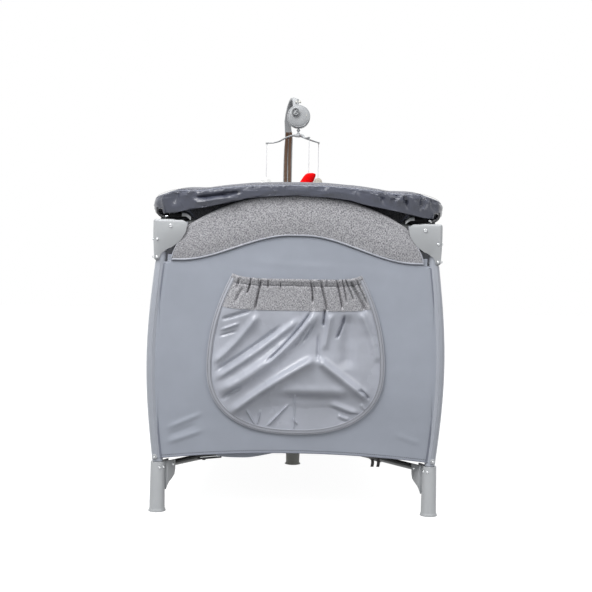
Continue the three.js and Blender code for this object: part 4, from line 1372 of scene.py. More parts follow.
@dataclass
class CornerFittings:
    """Screws, rivets and plates at the four corners."""

    screw_size: float = 1.0
    column_rivet: float = 0.0075
    column_heights: tuple[float, float] = (0.648, 0.606)
    foot_rivets: tuple[float, float] = (-66.0, -24.0)
    foot_rivet_z: float = 0.106
    foot_radius: float = 0.0171
    plate_radius: float = 0.0068
    collar_radius: float = 0.0098

    def build(self) -> None:
        """Builds the fasteners of each corner."""
        for name, (sx, sy) in CORNERS.items():
            body = f"leg_{name}"
            carry(self.screws(name, sx, sy), body)
            carry(self.rivets(name, sx, sy), body)
            carry(self.plate(name, sx, sy), body)
            carry(self.collar(name, sx, sy), f"arm_{name}")

    def screws(self, name: str, sx: int, sy: int) -> bpy.types.Object:
        """Pan-head screws on the two outer cheeks of a corner housing."""
        z = FRAME.corner_pin_z
        out = FRAME.housing_out
        places = [
            ((sx * (FRAME.leg_x - FRAME.end_pin_inset), sy * (FRAME.leg_y + out), z), (0.0, float(sy), 0.0)),
            ((sx * (FRAME.leg_x + out), sy * (FRAME.leg_y - FRAME.side_pin_inset), z), (float(sx), 0.0, 0.0)),
        ]
        return heads(f"housing_screws_{name}", Head.SCREW, places, Finishes.STEEL, self.screw_size)

    def rivets(self, name: str, sx: int, sy: int) -> bpy.types.Object:
        """Rivets down the housing's column and on the foot housing."""
        out, far = FRAME.housing_out, self.column_rivet
        places: list[tuple[Point, Point]] = []
        for z in self.column_heights:
            places.append(((sx * (FRAME.leg_x + far), sy * (FRAME.leg_y + out), z), (0.0, float(sy), 0.0)))
            places.append(((sx * (FRAME.leg_x + out), sy * (FRAME.leg_y + far), z), (float(sx), 0.0, 0.0)))
        radius = self.foot_radius
        for turn in self.foot_rivets:
            x = math.cos(math.radians(turn))
            y = math.sin(math.radians(turn))
            at_x = -sx * (radius * x) + sx * FRAME.leg_x
            at_y = -sy * (radius * y) + sy * FRAME.leg_y
            places.append(((at_x, at_y, self.foot_rivet_z), (-sx * x, -sy * y, 0.0)))
        ux, uy = FRAME.arm_direction
        pin_x, pin_y = FRAME.foot_pin
        for sign in (1, -1):
            way = (sx * uy * sign, -sy * ux * sign, 0.0)
            reach = FRAME.arm_cheek + 0.0001
            places.append(((sx * pin_x + way[0] * reach, sy * pin_y + way[1] * reach, FRAME.foot_pin_z), way))
        return heads(f"housing_rivets_{name}", Head.RIVET, places, Finishes.STEEL)

    def plate(self, name: str, sx: int, sy: int) -> bpy.types.Object:
        """The eight-sided plate and its screw just above a foot housing."""
        face = Vector((sx * 0.35, sy * 0.94, 0)).normalized()
        foot = Vector((sx * (FRAME.leg_x + 0.0015), sy * (FRAME.leg_y + 0.0005), 0.1305))
        radius = self.plate_radius
        profile = [(radius, -0.002), (radius, 0.0012), (radius - 0.0012, 0.0022), (0.001, 0.0024)]
        base = turned(f"foot_plate_{name}", profile, foot + face * 0.0128, face, Finishes.HOUSING, steps=8)
        place = (tuple(foot + face * 0.0154), tuple(face))
        head = heads("plate_screw", Head.SCREW, [place], Finishes.STEEL, 0.62)
        return joined(f"foot_plate_{name}", [base, head])

    def collar(self, name: str, sx: int, sy: int) -> bpy.types.Object:
        """The dark sleeve part way along a lower arm."""
        ux, uy = FRAME.arm_direction
        pin_x, pin_y = FRAME.foot_pin
        runs = (0.158, 0.162, 0.205, 0.209)
        radii = (0.0082, self.collar_radius, self.collar_radius, 0.0082)
        path = [
            (sx * (pin_x - ux * run), sy * (pin_y - uy * run), FRAME.foot_pin_z - FRAME.pin_slope * run)
            for run in runs
        ]
        return tube(f"arm_collar_{name}", path, np.array(radii), Finishes.BLACK, sides=20)


@dataclass
class LegSleeves:
    """Cloth sleeves round the bowed legs."""

    radius: float = 0.0124
    inner: float = 0.0115
    bottom: float = 0.1195
    tucked: float = 0.021
    rows: int = 70
    around: int = 28

    def build(self) -> None:
        """Builds a sleeve and its seam cord on each leg."""
        for name, (sx, sy) in CORNERS.items():
            body = f"leg_{name}"
            sleeve = self.sleeve(name, sx, sy)
            carry(sleeve, body)
            carry(self.seam(name, sx, sy), body)

    def axis(self, z: np.ndarray, sx: int, sy: int) -> np.ndarray:
        """The leg's axis at some heights."""
        bow = FRAME.bow(z)
        x, y = FRAME.leg_x + FRAME.bow_x * bow, FRAME.leg_y + FRAME.bow_y * bow
        return np.stack([sx * x, sy * y, z], axis=-1)

    def sleeve(self, name: str, sx: int, sy: int) -> bpy.types.Object:
        """The sleeve, with soft cross wrinkles near its ends."""
        z = np.linspace(self.bottom, FRAME.housing_bottom + self.tucked, self.rows)
        turns = np.arange(self.around) * 2 * np.pi / self.around
        middle = self.axis(z, sx, sy)[:, None, :]
        way = np.stack([np.cos(turns), np.sin(turns), 0 * turns], axis=-1)[None, :, :]
        spread = middle + way * self.radius
        wrinkle = ripple(spread * np.array([1, 1, 2.6]), 26.0, 3.0 + sx + 5 * sy)
        radius = self.radius + 0.0004 * wrinkle[..., None]
        cloth = np.stack(np.broadcast_arrays(turns[None, :] * self.radius, z[:, None]), axis=-1)
        inside = middle + way * self.inner
        return slab(f"leg_sleeve_{name}", middle + way * radius, inside, cloth, Finishes.SLEEVE, wrap=True)

    def seam(self, name: str, sx: int, sy: int) -> bpy.types.Object:
        """The corded seams down the front and side of a sleeve."""
        z = np.linspace(self.bottom + 0.002, FRAME.housing_bottom - 0.002, 40)
        middle = self.axis(z, sx, sy)
        parts = []
        for way in (Vector((0.1 * -sx, sy, 0)).normalized(), Vector((sx, 0.1 * -sy, 0)).normalized()):
            parts.append(tube("seam", middle + np.array(way) * self.radius, 0.0010, Finishes.PIPING, sides=8))
        return joined(f"sleeve_seam_{name}", parts)


# -------------------------------------------------------------------- the walls


@dataclass(frozen=True)
class Fold:
    """One soft fold in cloth: where it starts and ends, how wide and how high it is."""

    start: tuple[float, float]
    end: tuple[float, float]
    width: float
    height: float
    bend: float = 0.0
    tail: float = 0.3

    def lift(self, s: np.ndarray, z: np.ndarray) -> np.ndarray:
        """How far the fold lifts the cloth at each place.

        Args:
            s: Distance along the side.
            z: Height.

        Returns:
            The lift, fading to nothing at the fold's ends.
        """
        run = np.array(self.end) - np.array(self.start)
        length = float(np.hypot(*run))
        ahead = run / length
        along = ((s - self.start[0]) * ahead[0] + (z - self.start[1]) * ahead[1]) / length
        across = -(s - self.start[0]) * ahead[1] + (z - self.start[1]) * ahead[0]
        across = across - self.bend * 4 * along * (1 - along)
        ends = eased(along, 0.0, self.tail) * (1 - eased(along, 1.0 - self.tail, 1.0))
        return self.height * ends * np.exp(-((across / self.width) ** 2))


def lifted(folds: Sequence[Fold], s: np.ndarray, z: np.ndarray) -> np.ndarray:
    """The lift of several folds together."""
    return sum((fold.lift(s, z) for fold in folds), np.zeros_like(s))


@dataclass
class Wall:
    """The cloth of one side: panel, padded band, hems, piping and stitching."""

    side: Side
    folds: tuple[Fold, ...] = ()
    edge_gap: float = 0.0040
    bottom: float = 0.1275
    bottom_rise: float = 0.0180
    hem_width: float = 0.008
    window: tuple[float, float, float, float] | None = None
    leaf: float = 0.0016
    flat_height: float = 0.54
    overlap: float = 0.012
    crest: float = 0.009
    inside_low: float = 0.655
    band_leaf: float = 0.0022
    window_radius: float = 0.055

    def build(self) -> None:
        """Builds every piece of the wall's cloth and hangs it on the frame."""
        side = self.side
        panel = self.panel()
        self.hang(panel, f"wall_{side.label}")
        area = self.panel_area()
        band = self.band()
        self.hang(band)
        self.hang(self.piping())
        self.hang(self.stitching())
        for piece in self.hems():
            self.hang(piece)
        self.hang(self.gussets())
        if self.window:
            self.hang(self.net())
            self.hang(self.window_tape())

    def hang(self, piece: bpy.types.Object, node: str | None = None) -> None:
        """Puts a piece of this wall on the leg that carries it."""
        carry(piece, self.side.body, [node] if node else [], self.side)

    def bottom_at(self, s: np.ndarray) -> np.ndarray:
        """Height of the bottom edge along the wall."""
        return self.bottom + self.bottom_rise * (1 - (np.asarray(s) / self.side.span.half) ** 2)

    def band_low(self, s: np.ndarray) -> np.ndarray:
        """Height of the padded band's lower edge along the wall."""
        share = np.abs(np.asarray(s, float)) / self.side.span.half
        if self.side.is_end:
            return 0.601 + 0.062 * (1 - eased(share, 0.05, 0.86))
        return 0.604 + 0.026 * (1 - eased(share, 0.5, 0.96))

    def panel_edge(self, z: np.ndarray) -> np.ndarray:
        """Distance from the middle to the panel's edge at a height."""
        span = self.side.span
        free = span.edge_at(z) - self.edge_gap
        return np.where(np.asarray(z) > FRAME.housing_bottom - 0.004, span.half - 0.0165, free)

    def surface(self, share: np.ndarray, rise: np.ndarray) -> tuple[np.ndarray, np.ndarray, np.ndarray]:
        """The panel's outer face.

        Args:
            share: Place along the wall, from -1 to 1.
            rise: Place up the wall, from 0 at the bottom edge to 1.

        Returns:
            Distance along, distance out and height.
        """
        span = self.side.span
        guess = share * span.half
        low = self.bottom_at(guess)
        z = low + (self.band_low(guess) + self.overlap - low) * rise
        s = share * self.panel_edge(z)
        out = FRAME.wall_out - 0.0012 + span.depth_bow * FRAME.bow(z)
        out = out - 0.0022 * eased(np.abs(share), 0.95, 1.0)
        points = self.side.place(s, out, z)
        soft = ripple(points, 7.0, 11.0) * 0.0009 + ripple(points * np.array([1, 1, 2.5]), 15.0, 4.0) * 0.0004
        calm = 1 - eased(np.abs(share), 0.9, 1.0)
        return s, out + calm * (soft + lifted(self.folds, s, z)), z

    def panel(self) -> bpy.types.Object:
        """The wall's cloth panel, open where its window is."""
        columns = 150 if self.side.is_end else 200
        rows = 120 if self.side.is_end else 80
        share, rise = np.meshgrid(np.linspace(-1, 1, columns), np.linspace(0, 1, rows))
        s, out, z = self.surface(share, rise)
        keep = None
        if self.window:
            left, right, low, high = self.window
            middle_s = (s[:-1, :-1] + s[1:, 1:]) / 2
            middle_z = (z[:-1, :-1] + z[1:, 1:]) / 2
            keep = ~((middle_s > left) & (middle_s < right) & (middle_z > low) & (middle_z < high))
        cloth = np.stack([s, z], axis=-1)
        return slab(
            f"wall_panel_{self.side.label}",
            self.side.place(s, out, z), self.side.place(s, out - self.leaf, z), cloth, Finishes.PANEL, keep,
        )

    def panel_area(self) -> float:
        """The panel's flat area."""
        share, rise = np.meshgrid(np.linspace(-1, 1, 60), np.linspace(0, 1, 60))
        s, _, z = self.surface(share, rise)
        cell = np.abs((s[1:, 1:] - s[:-1, :-1]) * (z[1:, 1:] - z[:-1, :-1]))
        area = float(cell.sum())
        if self.window:
            left, right, low, high = self.window
            area -= (right - left) * (high - low)
        return area

    def line_on(self, s: np.ndarray, z: np.ndarray, lift: float) -> np.ndarray:
        """Points on the panel's face, lifted off it a little."""
        span = self.side.span
        low = self.bottom_at(s)
        rise = (z - low) / (self.band_low(s) + self.overlap - low)
        share = np.clip(s / self.panel_edge(z), -1, 1)
        _, out, _ = self.surface(share, rise)
        return self.side.place(np.clip(s, -span.half, span.half), out + lift, z)

    def band_end(self, z: np.ndarray) -> np.ndarray:
        """Distance from the middle to the band's end, slanting in behind the corner housing."""
        span = self.side.span
        return span.half - 0.026 - 0.036 * eased(z, 0.598, 0.692)

    def band(self) -> bpy.types.Object:
        """The padded band that hoods the rails: up the outside, over the top and down inside."""
        span = self.side.span
        columns = 160 if self.side.is_end else 220
        outside, over, inside = 26, 14, 10
        share = np.linspace(-1, 1, columns)
        s_mid = share * (span.half - 0.044)
        low, top = self.band_low(s_mid), span.band_top(s_mid)
        rows_s, rows_out, rows_z = [], [], []
        for step in range(outside):
            rise = step / (outside - 1)
            z = low + (top - self.crest - low) * rise
            swell = 0.0042 * math.sin(math.pi * min(1.0, 0.12 + rise))
            rows_s.append(share * self.band_end(z))
            rows_out.append(FRAME.wall_out + 0.0006 + swell + 0 * share)
            rows_z.append(z)
        for step in range(1, over):
            turn = math.pi * step / over
            middle = (FRAME.wall_out - FRAME.crest_in) / 2
            half = (FRAME.wall_out + FRAME.crest_in) / 2
            rows_s.append(share * self.band_end(top))
            rows_out.append(middle + half * math.cos(turn) * np.ones_like(share))
            rows_z.append(top - self.crest + self.crest * math.sin(turn))
        for step in range(inside):
            fall = step / (inside - 1)
            z = top - self.crest - (top - self.crest - self.inside_low) * fall
            rows_s.append(share * self.band_end(z))
            rows_out.append(-FRAME.crest_in + 0 * share)
            rows_z.append(z)
        s, out, z = np.array(rows_s), np.array(rows_out), np.array(rows_z)
        points = self.side.place(s, out, z)
        quilt = 0.0008 * ripple(points, 11.0, 2.0) + 0.0005 * ripple(points, 30.0, 9.0)
        face = np.linspace(0, 1, len(s))[:, None]
        out = out + np.where(face < 0.55, quilt, -quilt * 0.4)
        row_run = run_along(out[:, columns // 2], z[:, columns // 2])
        cloth = np.stack(np.broadcast_arrays(s, row_run[:, None]), axis=-1)
        thick = self.band_leaf
        cosine = np.gradient(z, axis=0)
        sine = np.gradient(out, axis=0)
        norm = np.maximum(np.hypot(cosine, sine), 1e-9)
        back = self.side.place(s, out - thick * cosine / norm, z + thick * sine / norm)
        return slab(f"wall_band_{self.side.label}", self.side.place(s, out, z), back, cloth, Finishes.HEATHER)

    def band_edge(self, lift: float) -> np.ndarray:
        """The line along the band's lower edge."""
        end = float(self.band_end(np.array(0.603)))
        s = np.linspace(-end, end, 120)
        return self.side.place(s, FRAME.wall_out + lift + 0 * s, self.band_low(s))

    def piping(self) -> bpy.types.Object:
        """Piping along the band's lower edge and ends, and the panel's bottom edge."""
        label = self.side.label
        parts = [tube("edge", self.band_edge(0.0016), 0.0021, Finishes.PIPING, sides=10)]
        for sign in (-1, 1):
            z = np.linspace(0.604, 0.69, 24)
            s = sign * (self.band_end(z) - 0.0005)
            path = self.side.place(s, FRAME.wall_out + 0.003 + 0 * z, z)
            parts.append(tube("end", path, 0.0015, Finishes.PIPING, sides=8))
        s = np.linspace(-0.995, 0.995, 90) * self.panel_edge(np.array(self.bottom + 0.004))
        z = self.bottom_at(s) + 0.0006
        parts.append(tube("hem", self.line_on(s, z, -0.0002), 0.0015, Finishes.PANEL_HEM, sides=8))
        return joined(f"wall_piping_{label}", parts)

    def stitching(self) -> bpy.types.Object:
        """Rows of stitches below the band's piping and above the bottom edge."""
        end = float(self.band_end(np.array(0.603)))
        s = np.linspace(-end, end, 140)
        rows = [self.line_on(s, self.band_low(s) - 0.0036, 0.0003)]
        s = np.linspace(-0.97, 0.97, 100) * self.panel_edge(np.array(self.bottom + 0.01))
        rows.append(self.line_on(s, self.bottom_at(s) + 0.0062, 0.0003))
        return stitches(f"wall_stitches_{self.side.label}", rows, Finishes.THREAD, thick=0.0005)

    def hems(self) -> list[bpy.types.Object]:
        """The strips of cloth down both edges of the panel."""
        pieces = []
        for sign, end in ((-1, "left"), (1, "right")):
            z_run = np.linspace(self.bottom + 0.003, 0.596, 70)
            across = np.linspace(0, 1, 7)
            z, step = np.meshgrid(z_run, across, indexing="ij")
            width = self.hem_width * (0.8 + 0.2 * eased(0.4 - z, 0.0, 0.3))
            s = sign * (self.panel_edge(z) - 0.0004 - width * step)
            z = np.maximum(z, self.bottom_at(s) + 0.0016)
            flat = self.line_on(s, z, 0.0009)
            back = self.line_on(s, z, 0.0001)
            cloth = np.stack([s, z], axis=-1)
            pieces.append(slab(f"wall_hem_{self.side.label}_{end}", flat, back, cloth, Finishes.PANEL_HEM))
        return pieces

    def gussets(self) -> bpy.types.Object:
        """Folded cloth between the band's ends and the corner housings, in a darker copy of the heather that
        paints the shade in the gap.
        """
        span = self.side.span
        parts = []
        for sign in (-1, 1):
            z_run = np.linspace(0.600, 0.6885, 24)
            across = np.linspace(0, 1, 26)
            z, step = np.meshgrid(z_run, across, indexing="ij")
            inner = self.band_end(z) - 0.004
            outer = span.half - span.pin_inset - 0.006 + 0 * z
            outer = np.maximum(outer, inner + 0.002)
            s = sign * (inner + (outer - inner) * step)
            crumple = np.abs(np.sin(step * math.pi * 2.5 + z * 22)) * 0.0042
            out = FRAME.wall_out - 0.0052 + crumple * eased(0.695 - z, 0.0, 0.03)
            cloth = np.stack([s, z], axis=-1)
            front, back = self.side.place(s, out, z), self.side.place(s, out - 0.0012, z)
            parts.append(slab("gusset", front, back, cloth, Finishes.HEATHER_DARK))
        return joined(f"wall_gusset_{self.side.label}", parts)

    def net(self) -> bpy.types.Object:
        """The see-through net behind the window."""
        left, right, low, high = self.window
        past = 0.01
        s, z = np.meshgrid(
            np.linspace(left - past, right + past, 60), np.linspace(low - past, high + past, 24)
        )
        span = self.side.span
        out = FRAME.wall_out - 0.0034 + span.depth_bow * FRAME.bow(z)
        cloth = np.stack([s, z], axis=-1)
        front, back = self.side.place(s, out, z), self.side.place(s, out - 0.0005, z)
        return slab(f"wall_net_{self.side.label}", front, back, cloth, Finishes.NET)

    def window_tape(self) -> bpy.types.Object:
        """The bound edge of the window, with rounded corners."""
        left, right, low, high = self.window
        radius = self.window_radius
        line = []
        for corner_s, corner_z, start in (
            (right - radius, low + radius, -90), (right - radius, high - radius, 0),
            (left + radius, high - radius, 90), (left + radius, low + radius, 180),
        ):
            for step in range(11):
                turn = math.radians(start + 9 * step)
                line.append((corner_s + radius * math.cos(turn), corner_z + radius * math.sin(turn)))
        outline = np.array(line)
        dense = []
        for index, point in enumerate(outline):
            after = outline[(index + 1) % len(outline)]
            count = max(1, int(np.hypot(*(after - point)) / 0.015))
            dense += [point + (after - point) * step / count for step in range(count)]
        dense = np.array(dense)
        parts = []
        for shrink, radius_at in ((0.0, 0.0042), (0.0075, 0.0012)):
            middle = np.array([(left + right) / 2, (low + high) / 2])
            scale = 1 + shrink / np.array([(right - left) / 2, (high - low) / 2])
            loop = middle + (dense - middle) * scale
            points = self.line_on(loop[:, 0], loop[:, 1], 0.0004)
            parts.append(tube("tape", points, radius_at, Finishes.BINDING, sides=8, closed=True))
        middle = ((left + right) / 2, (low + high) / 2)
        for index, corner in enumerate(((right, low), (right, high), (left, high), (left, low))):
            parts.append(self.window_corner(np.array(corner), middle, -90 + 90 * index))
        return joined(f"wall_tape_{self.side.label}", parts)

    def window_corner(
        self, corner: np.ndarray, middle: tuple[float, float], start: float
    ) -> bpy.types.Object:
        """The bit of cloth between a window's square corner and its rounded edge.

        Args:
            corner: The corner, along the wall and up.
            middle: The window's middle.
            start: Turn in degrees at which the rounded edge starts.

        Returns:
            The piece.
        """
        radius = self.window_radius
        centre = np.array([at - math.copysign(radius, at - mid) for at, mid in zip(corner, middle)])
        arc = [corner]
        for step in range(11):
            turn = math.radians(start) + math.radians(9 * step)
            arc.append(centre + radius * np.array([math.cos(turn), math.sin(turn)]))
        outline = np.array(arc)
        front = self.line_on(outline[:, 0], outline[:, 1], -0.0002)
        back = self.line_on(outline[:, 0], outline[:, 1], -0.0014)
        count = len(arc)
        faces = [tuple(range(count)), tuple(range(2 * count - 1, count - 1, -1))]
        faces += [(k, (k + 1) % count, count + (k + 1) % count, count + k) for k in range(count)]
        cloth = np.vstack([outline, outline])
        return piece_from("corner", np.vstack([front, back]), faces, Finishes.PANEL, cloth)


# ------------------------------------------------------------------- the pocket


@dataclass
class Pocket:
    """The gathered pocket on the front end."""

    top: float = 0.569
    widest: float = 0.352
    bottom: float = 0.192
    half: float = 0.2095
    top_half: float = 0.153
    gap: float = 0.0004
    thick: float = 0.0016
    elastic: float = 0.0165
    stand: float = 0.0105
    creases: tuple[Fold, ...] = (
        Fold((-0.1072, 0.568), (-0.1185, 0.522), 0.0019, -0.0090, 0.002, 0.15),
        Fold((-0.0910, 0.568), (-0.0896, 0.544), 0.0015, -0.0055, 0.0, 0.2),
        Fold((-0.0835, 0.560), (-0.0990, 0.482), 0.0026, -0.0088, 0.0, 0.2),
        Fold((-0.0677, 0.568), (-0.0680, 0.534), 0.0015, -0.0060, 0.0, 0.2),
        Fold((-0.0394, 0.553), (-0.0385, 0.531), 0.0014, -0.0040),
        Fold((0.0285, 0.568), (0.0374, 0.502), 0.0020, -0.0095, 0.0026, 0.14),
        Fold((0.0374, 0.552), (0.0450, 0.522), 0.0014, -0.0045),
        Fold((0.0515, 0.568), (0.0728, 0.482), 0.0025, -0.0095, 0.001, 0.14),
        Fold((0.0692, 0.562), (0.0702, 0.540), 0.0014, -0.0045),
        Fold((0.0900, 0.568), (0.1080, 0.489), 0.0024, -0.0095, 0.001, 0.14),
        Fold((0.1040, 0.566), (0.1180, 0.502), 0.0017, -0.0070, 0.001, 0.2),
        Fold((0.1120, 0.563), (0.1360, 0.508), 0.0016, -0.0070, 0.0, 0.2),
        Fold((0.1240, 0.558), (0.1650, 0.484), 0.0034, -0.0105, 0.0, 0.16),
        Fold((0.1385, 0.562), (0.1690, 0.498), 0.0015, -0.0060, 0.0, 0.2),
        Fold((-0.1350, 0.562), (-0.1430, 0.530), 0.0032, -0.0050),
        Fold((-0.1250, 0.540), (-0.1480, 0.498), 0.0040, -0.0040),
        Fold((-0.0150, 0.552), (0.0160, 0.532), 0.0030, -0.0016),
    )
    folds: tuple[Fold, ...] = (
        Fold((-0.200, 0.352), (-0.086, 0.480), 0.0085, 0.0075, -0.006, 0.16),
        Fold((-0.196, 0.334), (-0.030, 0.452), 0.0050, -0.0046, -0.003, 0.16),
        Fold((-0.198, 0.314), (0.012, 0.470), 0.0080, 0.0072, -0.004, 0.14),
        Fold((-0.074, 0.360), (0.038, 0.489), 0.0034, -0.0080, -0.006, 0.16),
        Fold((-0.192, 0.284), (0.056, 0.492), 0.0130, 0.0110, -0.020, 0.14),
        Fold((-0.162, 0.232), (0.054, 0.378), 0.0105, 0.0120, 0.006, 0.14),
        Fold((0.046, 0.376), (0.178, 0.274), 0.0105, 0.0110, 0.0, 0.14),
        Fold((-0.130, 0.258), (0.170, 0.252), 0.0300, -0.0050),
        Fold((-0.060, 0.299), (0.150, 0.297), 0.0120, 0.0046),
        Fold((-0.060, 0.280), (0.150, 0.277), 0.0095, -0.0036),
        Fold((0.122, 0.482), (0.122, 0.345), 0.0150, -0.0075, 0.0, 0.2),
        Fold((0.150, 0.488), (0.198, 0.362), 0.0085, 0.0075, 0.003, 0.14),
        Fold((0.114, 0.478), (0.094, 0.418), 0.0030, -0.0080, 0.002, 0.2),
        Fold((0.067, 0.492), (0.063, 0.448), 0.0028, -0.0075, 0.0, 0.2),
        Fold((0.082, 0.484), (0.066, 0.390), 0.0065, 0.0055, 0.0, 0.2),
        Fold((0.053, 0.436), (0.0515, 0.366), 0.0036, -0.0042),
        Fold((0.012, 0.404), (0.048, 0.464), 0.0026, -0.0036),
        Fold((-0.012, 0.388), (0.036, 0.458), 0.0026, -0.0036),
        Fold((-0.180, 0.460), (-0.106, 0.484), 0.0040, -0.0046, 0.0, 0.18),
        Fold((-0.184, 0.434), (-0.130, 0.454), 0.0034, 0.0036),
        Fold((-0.186, 0.420), (-0.136, 0.436), 0.0030, -0.0030),
        Fold((-0.178, 0.266), (-0.120, 0.306), 0.0044, -0.0048, 0.003),
        Fold((-0.0012, 0.290), (-0.0012, 0.199), 0.0020, 0.0040, 0.0, 0.12),
        Fold((-0.0905, 0.208), (-0.115, 0.250), 0.0028, 0.0048, 0.0, 0.2),
        Fold((-0.0890, 0.210), (-0.081, 0.250), 0.0022, 0.0038, 0.0, 0.2),
        Fold((-0.0690, 0.206), (-0.012, 0.266), 0.0030, 0.0048, 0.0, 0.2),
        Fold((-0.0060, 0.232), (0.009, 0.213), 0.0022, 0.0036),
        Fold((0.006, 0.220), (0.031, 0.202), 0.0022, -0.0036),
        Fold((0.076, 0.270), (0.156, 0.240), 0.0075, 0.0070),
        Fold((0.104, 0.2410), (0.156, 0.2405), 0.0026, -0.0050),
        Fold((0.098, 0.240), (0.132, 0.227), 0.0060, 0.0046),
        Fold((0.148, 0.303), (0.176, 0.276), 0.0032, -0.0075, 0.003, 0.2),
        Fold((0.154, 0.268), (0.171, 0.246), 0.0036, 0.0044),
    )

    def build(self) -> None:
        """Builds the pocket's bag, elastic band, binding and stitching."""
        side = Side.FRONT
        bag = self.bag()
        carry(bag, side.body, ["pocket"], side)
        self.flat_area()
        band = self.band()
        carry(band, side.body, (), side)
        carry(self.binding(), side.body, (), side)
        carry(self.thread(), side.body, (), side)

    def outline(self, z: np.ndarray) -> np.ndarray:
        """Half width at a height: round below its widest place, drawn in towards its top."""
        z = np.asarray(z, float)
        up = np.clip((z - self.widest) / (self.top - self.widest), 0, 1)
        down = np.clip((self.widest - z) / (self.widest - self.bottom), 0, 1)
        low = self.half * np.maximum(1 - down**2.4, 0) ** (1 / 2.4)
        return np.where(z > self.widest, self.half - (self.half - self.top_half) * up**2, low)

    def top_at(self, share: np.ndarray) -> np.ndarray:
        """Height of the top edge across the pocket, notched where the elastic draws it in."""
        line = self.top + 0.0015 - 0.0110 * (1 - np.abs(share) ** 5)
        for crease in self.creases:
            at = crease.start[0] / self.top_half
            line = line + 0.16 * crease.height * np.exp(-(((share - at) / 0.017) ** 2))
        return line

    def grid(
        self, low: float, high: float, rows: int, columns: int
    ) -> tuple[np.ndarray, np.ndarray, np.ndarray]:
        """A grid over the pocket between two shares of its height.

        Args:
            low: The lower share.
            high: The upper share.
            rows: Rows of the grid.
            columns: Columns of the grid.

        Returns:
            Share across, distance along and height at each point.
        """
        share, rise = np.meshgrid(np.linspace(-1, 1, columns), np.linspace(low, high, rows))
        z = self.bottom + (self.top_at(share) - self.bottom) * rise**1.25
        return share, share * self.outline(np.minimum(z, self.top)), z

    def depth(self, share: np.ndarray, s: np.ndarray, z: np.ndarray) -> np.ndarray:
        """How far the pocket stands out from the panel."""
        rise = np.clip((z - self.bottom) / (self.top - self.bottom), 0, 1)
        edge = 1 - np.abs(share) ** 3.2
        held = 1 - np.abs(share) ** 12
        low = eased(rise, 0.0, 0.34)
        arch = 0.010 + 0.011 * np.exp(-(((s - 0.02) / 0.15) ** 2) - (((z - 0.335) / 0.085) ** 2))
        belly = edge * low * arch + held * self.stand * eased(z, 0.42, 0.49)
        points = Side.FRONT.place(s, 0 * s, z)
        puckers = 0.0018 * ripple(points, 19.0, 6.0) + 0.0010 * ripple(points, 48.0, 1.0)
        inner = held * eased(rise, 0.0, 0.09) * (1 - eased(z, 0.486, 0.502))
        folds = lifted(self.folds, s, z)
        gathers = lifted(self.creases, s, z) * eased(z, 0.47, 0.49)
        tuck = -0.0020 * np.exp(-(((self.top_at(share) - self.elastic - z) / 0.0022) ** 2))
        return 0.0006 + belly + inner * (puckers + 1.3 * folds) + 1.15 * gathers + tuck * held

    def face(self, share: np.ndarray, s: np.ndarray, z: np.ndarray, lift: float) -> np.ndarray:
        """Points of the pocket's face, lifted off it a little."""
        base = FRAME.wall_out + self.gap + FRAME.bow_y * FRAME.bow(z)
        return Side.FRONT.place(s, base + np.maximum(self.depth(share, s, z), 0.0008) + lift, z)

    def bag(self) -> bpy.types.Object:
        """The satin bag, up to the elastic band."""
        share, s, z = self.grid(0.0, 0.90, 190, 240)
        cloth = np.stack([s * 1.12, z], axis=-1)
        front, back = self.face(share, s, z, self.thick), self.face(share, s, z, 0.0)
        return slab("pocket_bag", front, back, cloth, Finishes.POCKET)

    def flat_area(self) -> float:
        """The cloth that the bag takes."""
        share, s, z = self.grid(0.0, 0.90, 120, 120)
        return grid_area(self.face(share, s, z, 0.0))

    def band(self) -> bpy.types.Object:
        """The heather band at the top, with the elastic's pleats."""
        share, s, z = self.grid(0.835, 1.0, 64, 520)
        roll = 0.0030 * np.exp(-(((z - self.top_at(share) + 0.004) / 0.006) ** 2))
        front = self.face(share, s, z, self.thick + 0.0012)
        front[..., 1] -= roll
        back = self.face(share, s, z, self.thick + 0.0001)
        cloth = np.stack([s * 1.3, z], axis=-1)
        return slab("pocket_band", front, back, cloth, Finishes.HEATHER)

    def edge_line(self, inset: float, count: int = 260) -> tuple[np.ndarray, np.ndarray]:
        """The pocket's outline below its top edge, moved inwards."""
        z_up = self.bottom + (self.top - self.bottom) * (1 - np.cos(np.linspace(0, np.pi, count))) / 2
        z = np.concatenate([z_up[::-1], z_up[1:]])
        sign = np.concatenate([-np.ones(count), np.ones(count - 1)])
        s = sign * self.outline(z)
        path = np.stack([s, z], axis=-1)
        ahead = np.gradient(path, axis=0)
        ahead /= np.maximum(np.linalg.norm(ahead, axis=1)[:, None], 1e-9)
        inward = np.stack([-ahead[:, 1], ahead[:, 0]], axis=-1)
        moved = path + inward * inset
        return moved[:, 0], moved[:, 1]

    def flat_on(self, s: np.ndarray, z: np.ndarray, lift: float) -> np.ndarray:
        """Points just in front of the pocket's edge."""
        share = np.clip(s / np.maximum(self.outline(z), 1e-4), -1, 1)
        rise = np.clip((z - self.bottom) / (self.top - self.bottom), 0, 1)
        puff = (1 - np.abs(share) ** 3.2) * eased(rise, 0.0, 0.34) * 0.012
        raised = (1 - np.abs(share) ** 12) * self.stand * eased(z, 0.42, 0.49)
        out = FRAME.wall_out + self.gap + FRAME.bow_y * FRAME.bow(z) + 0.0012 + puff + raised + lift
        return Side.FRONT.place(s, out, z)

